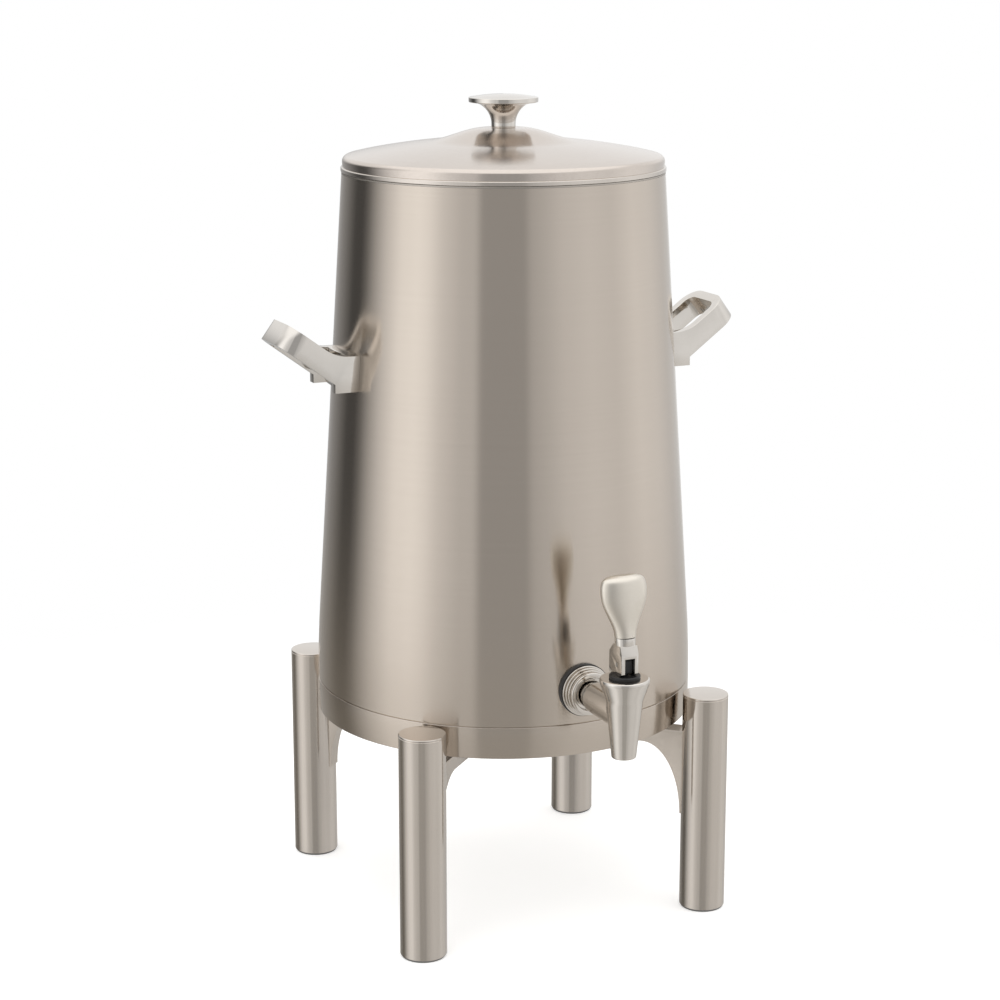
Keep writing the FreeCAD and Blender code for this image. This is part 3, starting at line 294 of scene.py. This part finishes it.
def buildRibTree():
    # a row of rings along an axis, each smaller than the last
    tree, source = newTree("rowOfRibs", [("Count", "Int"), ("Pitch", "Float"), ("Shrink", "Float"),
                                         ("Finish", "Material")])
    step = addNode(tree, "ShaderNodeCombineXYZ", None, {"Z": source.outputs["Pitch"]})
    line = addNode(tree, "GeometryNodeMeshLine", {"mode": "OFFSET"},
                   {"Count": source.outputs["Count"], "Offset": step.outputs[0]})
    index = addNode(tree, "GeometryNodeInputIndex")
    loss = addNode(tree, "ShaderNodeMath", {"operation": "MULTIPLY"},
                   {0: index.outputs[0], 1: source.outputs["Shrink"]})
    left = addNode(tree, "ShaderNodeMath", {"operation": "SUBTRACT"}, {0: 1.0, 1: loss.outputs[0]})
    size = addNode(tree, "ShaderNodeCombineXYZ", None, {"X": left.outputs[0], "Y": left.outputs[0], "Z": 1.0})
    copies = addNode(tree, "GeometryNodeInstanceOnPoints", None,
                     {"Points": line.outputs["Mesh"], "Instance": source.outputs["Geometry"],
                      "Scale": size.outputs[0]})
    return finishTree(tree, source, copies.outputs[0])


latheTree = buildLatheTree()
ringTree = buildRingTree()
ribTree = buildRibTree()


def newObject(name, vertices, edges, faces):
    mesh = bpy.data.meshes.new(name)
    mesh.from_pydata(vertices, edges, faces)
    piece = bpy.data.objects.new(name, mesh)
    bpy.context.scene.collection.objects.link(piece)
    return piece


def settle(piece):
    # the evaluated shape becomes the piece's own plain mesh
    view = bpy.context.evaluated_depsgraph_get()
    mesh = bpy.data.meshes.new_from_object(piece.evaluated_get(view))
    piece.modifiers.clear()
    piece.data = mesh
    mesh.name = piece.name
    return piece


def runTree(piece, tree, values):
    modifier = piece.modifiers.new(tree.name, "NODES")
    modifier.node_group = tree
    for item in tree.interface.items_tree:
        if item.in_out == "INPUT" and item.name in values:
            modifier[item.identifier] = values[item.name]
    return settle(piece)


def eased(points, steps=5):
    # rounds each corner of a section that has a third number, its radius in mm
    result = []
    for index, point in enumerate(points):
        here = Vector(point[:2])
        if len(point) < 3 or index in (0, len(points) - 1):
            result.append(tuple(here))
            continue
        back = Vector(points[index - 1][:2]) - here
        on = Vector(points[index + 1][:2]) - here
        half = back.angle(on) / 2
        run = min(point[2] / math.tan(half), back.length * 0.49, on.length * 0.49)
        radius = run * math.tan(half)
        middle = here + (back.normalized() + on.normalized()).normalized() * (radius / math.sin(half))
        first = here + back.normalized() * run - middle
        last = here + on.normalized() * run - middle
        sweep = math.pi - 2 * half
        for step in range(steps + 1):
            share = step / steps
            spoke = (first * math.sin((1 - share) * sweep) + last * math.sin(share * sweep)) / math.sin(sweep)
            result.append(tuple(middle + spoke))
    return result


def turnPiece(name, section, centre, finish, segments=96, crease=32):
    vertices = [(r * mm, 0, z * mm) for r, z in section]
    edges = [(i, i + 1) for i in range(len(section) - 1)]
    piece = newObject(name, vertices, edges, [])
    return runTree(piece, latheTree, {
        "Segments": segments, "Crease": math.radians(crease),
        "Centre": (centre[0] * mm, centre[1] * mm, 0.0), "Finish": finishes[finish]})


def copyNode(name, node, finish, bevel, steps=3):
    # a welded copy of a solid, with its hard edges rounded as polishing leaves them
    piece = bpy.data.objects.new(name, nodes[node].data.copy())
    bpy.context.scene.collection.objects.link(piece)
    shape = bmesh.new()
    shape.from_mesh(piece.data)
    bmesh.ops.remove_doubles(shape, verts=shape.verts, dist=weldGap)
    bmesh.ops.dissolve_limit(shape, angle_limit=math.radians(0.6), verts=shape.verts, edges=shape.edges)
    shape.to_mesh(piece.data)
    shape.free()
    if "custom_normal" in piece.data.attributes:
        piece.data.attributes.remove(piece.data.attributes["custom_normal"])
    edge = piece.modifiers.new("edges", "BEVEL")
    edge.width = bevel * mm
    edge.segments = steps
    edge.limit_method = "ANGLE"
    edge.angle_limit = math.radians(34)
    edge.harden_normals = False
    settle(piece)
    piece.data.materials.clear()
    piece.data.materials.append(finishes[finish])
    piece.data.shade_smooth()
    piece.data.set_sharp_from_angle(angle=math.radians(30))
    return piece


def keep(piece, body, slot, *replaced):
    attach(piece, body)
    if replaced:
        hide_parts(*replaced)
    return piece


# sizes of the body, heights from the floor, in mm and degrees
urn = {
    "axisY": middleOf("outer_shell", 1), "footRadius": 132.3, "footZ": 158.5, "topZ": 513.4, "taper": 3.67,
    "curveHeight": 42.0, "wall": 1.0, "rows": 18,
    "bandLow": 136.0, "bandHigh": 157.6, "bandEdge": 1.4, "bandWall": 1.2, "bandFlange": 14.0, "flangeZ": 139.0,
    "lipHigh": 166.6, "lipInset": 1.1,
}
axis = (0, urn["axisY"])


# camera, at the photograph's angle, placed in metres from the urn's axis

view = {"place": (-0.6821, -1.524, 0.6766), "tip": 76.72, "turn": -24.03, "lens": 87.43, "sensor": 36, "far": 50}
camera = bpy.data.objects.new("camera", bpy.data.cameras.new("camera"))
bpy.context.scene.collection.objects.link(camera)
camera.location = Vector(view["place"]) + Vector((0, urn["axisY"] * mm, 0))
camera.rotation_euler = (math.radians(view["tip"]), 0, math.radians(view["turn"]))
camera.data.lens = view["lens"]
camera.data.sensor_width = view["sensor"]
camera.data.clip_end = view["far"]
bpy.context.scene.camera = camera


# body: shell, band, lid and knob, all turned about the urn's axis

def shellRadius(z):
    bend = urn["curveHeight"] / math.sin(math.radians(urn["taper"]))
    rise = z - urn["footZ"]
    if rise < urn["curveHeight"]:
        return urn["footRadius"] - bend + math.sqrt(bend ** 2 - rise ** 2)
    start = urn["footRadius"] - bend * (1 - math.cos(math.radians(urn["taper"])))
    return start - (rise - urn["curveHeight"]) * math.tan(math.radians(urn["taper"]))


def shellSection():
    span = urn["topZ"] - urn["footZ"]
    heights = [urn["footZ"] + span * i / urn["rows"] for i in range(urn["rows"] + 1)]
    outer = [(shellRadius(z), z) for z in heights]
    inner = [(shellRadius(z) - urn["wall"], z) for z in reversed(heights)]
    return outer + inner + [outer[0]]


shell = keep(turnPiece("body_shell", shellSection(), axis, "brushedStainless", 256, 30),
             "urn", "brushed_stainless", "outer_shell")

r = urn["footRadius"]
lipOut = r - urn["lipInset"]
lipIn = lipOut - urn["bandWall"]
flangeZ = urn["flangeZ"]
bandSection = eased([
    (lipOut, urn["bandLow"]), (r, urn["bandLow"], urn["bandEdge"]), (r, urn["bandHigh"], 0.35),
    (lipOut, urn["bandHigh"]), (lipOut, urn["lipHigh"], 0.3), (lipIn, urn["lipHigh"], 0.3),
    (lipIn, flangeZ + urn["bandWall"], 0.5), (r - urn["bandFlange"], flangeZ + urn["bandWall"]),
    (r - urn["bandFlange"], flangeZ), (lipOut, flangeZ), (lipOut, urn["bandLow"])])
keep(turnPiece("base_ring", bandSection, axis, "brushedStainless", 256, 30),
     "urn", "brushed_stainless", "base_band")

lid = {
    "edge": 111.38, "low": 514.8, "corner": 7.0, "sheet": 1.2, "rise": 536.9, "sag": 12.4,
    "hump": 6.8, "humpOuter": 52.0, "humpInner": 14.0, "steps": 40, "shoulder": 12.0,
    "bead": 3.1, "beadRound": 1.5, "step": 1.3,
}


def domeZ(radius):
    share = min(max((lid["humpOuter"] - radius) / (lid["humpOuter"] - lid["humpInner"]), 0), 1)
    hump = lid["hump"] * share * share * (3 - 2 * share)
    return lid["rise"] - lid["sag"] * (radius / lid["edge"]) ** 2 + hump


def lidSection():
    # the cover from under its middle, round the shoulder and back over the top
    edge, low = lid["edge"], lid["low"]
    start = edge - lid["shoulder"]
    radii = [lid["humpInner"] + (start - lid["humpInner"]) * i / lid["steps"] for i in range(lid["steps"] + 1)]
    under = [(0, domeZ(0) - lid["sheet"])] + [(x, domeZ(x) - lid["sheet"]) for x in radii]
    inner = edge - lid["step"] - lid["sheet"]
    foot = low + lid["bead"] - 0.3
    turnIn = eased([under[-1], (inner, domeZ(inner) - lid["sheet"], lid["corner"] - 1), (inner, foot),
                    (edge - lid["step"], foot)], 10)[1:]
    shoulder = eased([(edge - lid["step"], foot), (edge - lid["step"] + 0.4, domeZ(edge), lid["corner"]),
                      (start, domeZ(start))], 16)[1:-1]
    return under + turnIn + shoulder + [(x, domeZ(x)) for x in reversed(radii)] + [(0, domeZ(0))]


def beadSection():
    # the rolled and polished hem round the cover's foot
    edge, low, top = lid["edge"], lid["low"], lid["low"] + lid["bead"]
    inner = edge - lid["sheet"]
    return eased([(inner, low), (edge, low, 0.4), (edge, top, lid["beadRound"]), (inner - 1.0, top),
                  (inner - 1.0, top - 0.5), (inner, top - 0.5), (inner, low)], 8)


keep(turnPiece("lid_dome", lidSection(), axis, "satinLid", 256, 36), "lid", "brushed_stainless", "lid_cover")
keep(turnPiece("lid_bead", beadSection(), axis, "polishedTube", 256, 30), "lid", "brushed_stainless")

knob = {"foot": 543.5, "stem": 8.3, "waist": 546.0, "flare": 14.7, "lip": 22.6, "rim": 23.8, "rimLow": 560.7,
        "rimHigh": 564.1, "crown": 2.2, "steps": 14}


def knobSection():
    section = [(0, knob["foot"])] + eased([
        (knob["stem"] - 1.0, knob["foot"]), (knob["stem"], knob["foot"], 0.5), (knob["stem"], knob["waist"])])[1:]
    reach = knob["lip"] - knob["stem"]
    for index in range(1, knob["steps"] + 1):
        turn = math.pi / 2 * index / knob["steps"]
        section.append((knob["lip"] - reach * math.cos(turn), knob["waist"] + knob["flare"] * math.sin(turn)))
    section += eased([section[-1], (knob["rim"], knob["rimLow"], 1.2), (knob["rim"], knob["rimHigh"], 1.2),
                      (knob["lip"], knob["rimHigh"])])[1:]
    for index in range(1, knob["steps"] + 1):
        out = knob["lip"] * (1 - index / knob["steps"])
        section.append((out, knob["rimHigh"] + knob["crown"] * (1 - (out / knob["lip"]) ** 2)))
    return section


keep(turnPiece("lid_knob_turned", knobSection(), axis, "brightChrome", 128, 36),
     "lid", "chrome_plate", "lid_knob")
print("turned body, lid and knob")


# legs and their cast brackets

leg = {"radius": 15.875, "bore": 14.275, "low": 1.6, "top": 157.1, "capJoint": 155.6, "joint": 0.25,
       "capEdge": 1.1, "plug": 143.6, "circle": 150.825, "webBevel": 1.1}
legSection = eased([
    (0, leg["plug"]), (leg["bore"], leg["plug"]), (leg["bore"], leg["low"]),
    (leg["radius"], leg["low"], 0.4), (leg["radius"], leg["capJoint"] - leg["joint"]),
    (leg["radius"] - leg["joint"], leg["capJoint"]), (leg["radius"], leg["capJoint"] + leg["joint"]),
    (leg["radius"], leg["top"], leg["capEdge"]), (0, leg["top"])])
for corner, turn in legCorners.items():
    x = leg["circle"] * math.cos(math.radians(turn))
    y = urn["axisY"] + leg["circle"] * math.sin(math.radians(turn))
    keep(turnPiece("leg_tube_" + corner, legSection, (x, y), "polishedTube", 96, 30),
         "urn", "polished_stainless", "leg_" + corner, "leg_cap_" + corner)
    keep(copyNode("cast_bracket_" + corner, "leg_bracket_" + corner, "castSteel", leg["webBevel"]),
         "urn", "plain_stainless", "leg_bracket_" + corner)
print("legs and brackets")


# side handles

handle = {"bevel": 0.9}
for side in ("left", "right"):
    keep(copyNode("cast_handle_" + side, "handle_" + side, "brightChrome", handle["bevel"]),
         "urn", "chrome_plate", "handle_" + side)
print("handles")


# screws under the pan

screw = {"count": 6, "ring": 124.1, "face": 137.6, "head": 2.9, "height": 1.6, "socket": 1.3, "socketDepth": 0.5,
         "shank": 1.4, "shankLength": 2.0, "wobble": 1.0, "seed": 4}
screwSection = eased([
    (0, screw["shankLength"]), (screw["shank"], screw["shankLength"]), (screw["shank"], 0),
    (screw["head"], 0, 0.2), (screw["head"], -screw["height"] * 0.5, 0.5),
    (screw["socket"] + 0.3, -screw["height"], 0.2), (screw["socket"], -screw["height"]),
    (screw["socket"], -screw["socketDepth"]), (0, -screw["socketDepth"])])
screws = turnPiece("pan_screws", screwSection, (0, 0), "zincSteel", 24, 30)
runTree(screws, ringTree, {
    "Count": screw["count"], "Radius": screw["ring"] * mm, "Wobble": screw["wobble"], "Seed": screw["seed"],
    "Centre": (0, axis[1] * mm, screw["face"] * mm), "Finish": finishes["zincSteel"]})
keep(screws, "urn", "screw_steel", "base_plate_screws")


# faucet: ribbed collar, cast body and lever fork, placed on the bonnet's axis

tap = {
    "level": 181.0, "y": middleOf("bonnet", 1), "collarY": -96.45, "collarLength": 9.6, "collarRadius": 17.3,
    "collarBore": 8.0, "coneLength": 7.4, "faceFrom": 7.6, "faceRadius": 14.6, "recess": 11.4, "recessDepth": 4.0,
    "ribs": 3, "ribPitch": 2.4, "ribShrink": 0.052, "ribDepth": 2.4, "ribFrom": 0.15, "ribTo": 1.55,
    "neck": 9.6, "neckStart": -102.25, "neckEnd": 111.5, "barrel": 10.6, "barrelStart": 114.0, "barrelEnd": 150.0,
    "tipZ": 152.4, "tip": 8.1, "throatZ": 191.0,
    "throat": 12.0, "lipZ": 202.7, "cupZ": 206.3, "cup": 16.4, "bore": 5.6, "seatZ": 174.0, "chamber": 7.4,
    "plug": 9.2, "plugZ": 200.3, "voxel": 0.45, "soften": 8, "forkBevel": 0.5,
}
layAhead = Matrix.Translation((0, 0, tap["level"] * mm)) @ Matrix.Rotation(math.radians(90), 4, "X")


def atTap(section, name, finish, segments=96):
    return turnPiece(name, section, (0, tap["y"]), finish, segments)


def alongBarrel(section, name, finish, segments=96):
    # a section of (radius, distance towards -Y) turned about the tap's level axis
    piece = turnPiece(name, section, (0, 0), finish, segments)
    piece.data.transform(layAhead)
    return piece


collarStart = -tap["collarY"]
core = alongBarrel(eased([
    (tap["collarBore"], collarStart), (tap["collarRadius"] - 1.2, collarStart),
    (tap["faceRadius"] - 0.9, collarStart + tap["coneLength"]),
    (tap["faceRadius"], collarStart + tap["faceFrom"], 0.3),
    (tap["faceRadius"], collarStart + tap["collarLength"], 0.7),
    (tap["recess"], collarStart + tap["collarLength"], 0.5),
    (tap["recess"], collarStart + tap["collarLength"] - tap["recessDepth"], 0.3),
    (tap["collarBore"], collarStart + tap["collarLength"] - tap["recessDepth"]),
    (tap["collarBore"], collarStart)]),
    "collar_core", "brightChrome", 128)
keep(core, "urn", "chrome_plate", "faucet_collar")
ribFoot = tap["collarRadius"] - tap["ribDepth"]
ribSection = eased([
    (ribFoot, tap["ribFrom"]), (tap["collarRadius"], tap["ribFrom"], 0.45),
    (tap["collarRadius"], tap["ribTo"], 0.45), (ribFoot, tap["ribTo"]), (ribFoot, tap["ribFrom"])], 6)
ribs = turnPiece("collar_ribs", ribSection, (0, 0), "brightChrome", 128)
runTree(ribs, ribTree, {"Count": tap["ribs"], "Pitch": tap["ribPitch"] * mm, "Shrink": tap["ribShrink"],
                        "Finish": finishes["brightChrome"]})
ribs.data.transform(layAhead @ Matrix.Translation((0, 0, collarStart * mm)))
keep(ribs, "urn", "chrome_plate")


def joinMeshes(name, parts):
    shape = bmesh.new()
    for part in parts:
        shape.from_mesh(part.data)
    piece = newObject(name, [], [], [])
    shape.to_mesh(piece.data)
    shape.free()
    for part in parts:
        bpy.data.objects.remove(part)
    return piece


def makeTapBody():
    # spout, cup and barrel run into one casting, softened, and then bored out
    outside = atTap(eased([
        (0, tap["tipZ"]), (tap["tip"], tap["tipZ"], 0.7), (tap["throat"], tap["throatZ"], 14.0),
        (tap["cup"] - 0.5, tap["lipZ"] - 0.4, 1.0), (tap["cup"], tap["lipZ"] + 1.2, 1.2),
        (tap["cup"], tap["cupZ"], 1.3), (0, tap["cupZ"])]), "spout", "brightChrome")
    barrel = alongBarrel(eased([
        (0, -tap["neckStart"]), (tap["neck"], -tap["neckStart"]), (tap["neck"], tap["neckEnd"], 2.0),
        (tap["barrel"], tap["barrelStart"], 2.0), (tap["barrel"], tap["barrelEnd"]),
        (0, tap["barrelEnd"])]), "barrel", "brightChrome")
    body = joinMeshes("tap_body", [outside, barrel])
    fuse = body.modifiers.new("fuse", "REMESH")
    fuse.mode = "VOXEL"
    fuse.voxel_size = tap["voxel"] * mm
    soften = body.modifiers.new("soften", "SMOOTH")
    soften.factor = 0.5
    soften.iterations = tap["soften"]
    settle(body)
    bores = atTap([
        (0, tap["tipZ"] - 1), (tap["bore"], tap["tipZ"] - 1), (tap["bore"], tap["seatZ"]),
        (tap["chamber"], tap["seatZ"]), (tap["chamber"], tap["plugZ"]), (tap["plug"], tap["plugZ"]),
        (tap["plug"], tap["cupZ"] + 1), (0, tap["cupZ"] + 1)], "bores", "brightChrome", 64)
    cut = body.modifiers.new("bore", "BOOLEAN")
    cut.operation = "DIFFERENCE"
    cut.solver = "EXACT"
    cut.object = bores
    settle(body)
    bpy.data.objects.remove(bores)
    body.data.materials.clear()
    body.data.materials.append(finishes["brightChrome"])
    body.data.shade_smooth()
    body.data.set_sharp_from_angle(angle=math.radians(40))
    return body


keep(makeTapBody(), "urn", "chrome_plate", "faucet_body")
keep(copyNode("lever_fork", "lever_yoke", "brightChrome", tap["forkBevel"]),
     "lever", "chrome_plate", "lever_yoke")
print("faucet")


# closing spring: a plain copy of the CAD spring that moves with the valve
spring = bpy.data.objects.new("closing_spring", nodes["valve_spring"].data.copy())
bpy.context.scene.collection.objects.link(spring)
keep(spring, "valve", "screw_steel", "valve_spring")
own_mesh(spring)


# floor, backdrop and soft studio light

studio = {
    # in reflections the floor is painted a darker grey and glows less: a painted reflection level for the metals,
    # not a colour the floor has
    "floorHalf": 3, "fadeFrom": 0.36, "fadeTo": 0.8, "floorColour": "#F2F1EF", "paintedReflectionColour": "#A39B8D",
    "floorGlow": 0.5, "paintedReflectionGlow": 0.1, "mirrorThin": 0.62, "mirrorTo": 1.9,
    # light level of the studio round the object, by angle from the camera, left is negative:
    # a dark flag far left, a bright box, a darker gap at the camera, a broad fill, the white sweep behind
    "round": [(-180, 0.66), (-172, 0.5), (-160, 0.38), (-140, 0.24), (-124, 0.08), (-114, 0.08),
              (-107, 0.2), (-98, 0.5), (-88, 0.84), (-74, 1.22), (-60, 1.3), (-52, 1.2), (-42, 0.94),
              (-28, 0.74), (-19, 0.72), (-14, 0.44), (14, 0.44), (19, 0.6), (28, 0.68), (40, 0.81),
              (60, 0.9), (80, 0.86), (100, 1.0), (120, 0.93), (140, 0.74), (160, 0.7), (172, 0.93),
              (180, 0.9)],
    "turn": -24.1, "backFrom": 0.42, "backTo": 0.7, "backLevel": 0.98,
    "topFrom": 0.55, "topTo": 0.75, "topLevel": 1.3, "diffuse": 0.75,
}
half = studio["floorHalf"]
floor = newObject("floor", [(-half, -half, 0), (half, -half, 0), (half, half, 0), (-half, half, 0)],
                  [], [(0, 1, 2, 3)])
material, tree, shader = newMaterial("paperSweep")
place = addNode(tree, "ShaderNodeTexCoord")
far = addNode(tree, "ShaderNodeVectorMath", {"operation": "LENGTH"}, {0: place.outputs["Object"]})
fade = addNode(tree, "ShaderNodeMapRange", {"interpolation_type": "SMOOTHSTEP"},
               {"Value": far.outputs["Value"], "From Min": studio["fadeFrom"], "From Max": studio["fadeTo"]})
path = addNode(tree, "ShaderNodeLightPath")
seen = addNode(tree, "ShaderNodeMath", {"operation": "MAXIMUM"},
               {0: path.outputs["Is Camera Ray"], 1: path.outputs["Is Transmission Ray"]})
direct = addNode(tree, "ShaderNodeMath", {"operation": "MULTIPLY"},
                 {0: seen.outputs[0], 1: studio["floorGlow"]})
glow = addNode(tree, "ShaderNodeMath", {"operation": "MULTIPLY_ADD"},
               {0: path.outputs["Is Glossy Ray"], 1: studio["paintedReflectionGlow"], 2: direct.outputs[0]})
# rays from the metals get the darker painted reflection colour instead of the floor's own colour
paper = addNode(tree, "ShaderNodeMix", {"data_type": "RGBA"},
                {"Factor": path.outputs["Is Glossy Ray"], 6: linear(studio["floorColour"]),
                 7: linear(studio["paintedReflectionColour"])})
tree.links.new(paper.outputs[2], shader.inputs["Base Color"])
shader.inputs["Roughness"].default_value = 0.9
shader.inputs["Specular IOR Level"].default_value = 0.0
shader.inputs["Emission Color"].default_value = (1, 1, 1, 1)
tree.links.new(glow.outputs[0], shader.inputs["Emission Strength"])
clear = addNode(tree, "ShaderNodeBsdfTransparent")
faint = addNode(tree, "ShaderNodeMapRange", {"interpolation_type": "SMOOTHSTEP"},
                {"Value": far.outputs["Value"], "From Min": studio["fadeFrom"], "From Max": studio["mirrorTo"],
                 "To Min": studio["mirrorThin"]})
thin = addNode(tree, "ShaderNodeMix", None,
               {"Factor": path.outputs["Is Glossy Ray"], 2: fade.outputs["Result"], 3: faint.outputs["Result"]})
mixed = addNode(tree, "ShaderNodeMixShader", None,
                {0: thin.outputs[0], 1: shader.outputs["BSDF"], 2: clear.outputs["BSDF"]})
tree.links.new(mixed.outputs[0], tree.nodes["Material Output"].inputs["Surface"])
floor.data.materials.append(material)

world = bpy.data.worlds.new("studio")
bpy.context.scene.world = world
world.use_nodes = True
tree = world.node_tree
tree.nodes.clear()
place = addNode(tree, "ShaderNodeTexCoord")
parts = addNode(tree, "ShaderNodeSeparateXYZ", None, {0: place.outputs["Generated"]})
back = addNode(tree, "ShaderNodeMath", {"operation": "MULTIPLY"}, {0: parts.outputs["Y"], 1: -1.0})
azimuth = addNode(tree, "ShaderNodeMath", {"operation": "ARCTAN2"}, {0: parts.outputs["X"], 1: back.outputs[0]})
share = addNode(tree, "ShaderNodeMath", {"operation": "MULTIPLY_ADD"},
                {0: azimuth.outputs[0], 1: 1 / (2 * math.pi), 2: 0.5 - studio["turn"] / 360})
cycle = addNode(tree, "ShaderNodeMath", {"operation": "FRACT"}, {0: share.outputs[0]})
ramp = addNode(tree, "ShaderNodeValToRGB", None, {"Fac": cycle.outputs[0]})
stops = ramp.color_ramp.elements
while len(stops) < len(studio["round"]):
    stops.new(0.5)
for stop, row in zip(stops, studio["round"]):
    stop.position = (row[0] + 180) / 360
for stop, row in zip(stops, studio["round"]):
    stop.color = (row[1], row[1], row[1], 1)
heading = math.radians(-studio["turn"])
behind = addNode(tree, "ShaderNodeVectorMath", {"operation": "DOT_PRODUCT"},
                 {0: place.outputs["Generated"], 1: (math.sin(heading) / 2, math.cos(heading) / 2, 1.0)})
sweep = addNode(tree, "ShaderNodeMapRange", {"interpolation_type": "SMOOTHSTEP"},
                {"Value": behind.outputs["Value"], "From Min": studio["backFrom"], "From Max": studio["backTo"]})
walls = addNode(tree, "ShaderNodeMix", {"data_type": "RGBA"},
                {"Factor": sweep.outputs["Result"], 6: ramp.outputs["Color"],
                 7: (studio["backLevel"],) * 3 + (1,)})
top = addNode(tree, "ShaderNodeMapRange", {"interpolation_type": "SMOOTHSTEP"},
              {"Value": parts.outputs["Z"], "From Min": studio["topFrom"], "From Max": studio["topTo"]})
level = addNode(tree, "ShaderNodeMix", {"data_type": "RGBA"},
                {"Factor": top.outputs["Result"], 6: walls.outputs[2], 7: (studio["topLevel"],) * 3 + (1,)})
path = addNode(tree, "ShaderNodeLightPath")
shown = addNode(tree, "ShaderNodeMix", {"data_type": "RGBA"},
                {"Factor": path.outputs["Is Glossy Ray"], 6: (studio["diffuse"],) * 3 + (1,),
                 7: level.outputs[2]})
straight = addNode(tree, "ShaderNodeMath", {"operation": "MAXIMUM"},
                   {0: path.outputs["Is Camera Ray"], 1: path.outputs["Is Transmission Ray"]})
final = addNode(tree, "ShaderNodeMix", {"data_type": "RGBA"},
                {"Factor": straight.outputs[0], 6: shown.outputs[2], 7: (1, 1, 1, 1)})
sky = addNode(tree, "ShaderNodeBackground", None, {"Color": final.outputs[2], "Strength": 1.0})
addNode(tree, "ShaderNodeOutputWorld", None, {"Surface": sky.outputs[0]})

lamps = [
    {"name": "keyBox", "place": (-1.6, -1.2, 1.5), "size": 1.3, "watts": 7},
    {"name": "fillBox", "place": (1.6, -1.3, 1.1), "size": 1.5, "watts": 5},
    {"name": "topBox", "place": (0.1, 0.2, 2.2), "size": 1.6, "watts": 9},
]
for lamp in lamps:
    data = bpy.data.lights.new(lamp["name"], "AREA")
    data.shape = "SQUARE"
    data.size = lamp["size"]
    data.energy = lamp["watts"]
    light = bpy.data.objects.new(lamp["name"], data)
    bpy.context.scene.collection.objects.link(light)
    light.location = lamp["place"]
    aim = Vector((0, 0.03, 0.3)) - light.location
    light.rotation_euler = aim.to_track_quat("-Z", "Y").to_euler()
    light.visible_glossy = False
    light.visible_camera = False
bpy.context.scene.view_settings.view_transform = "Standard"
print("studio")
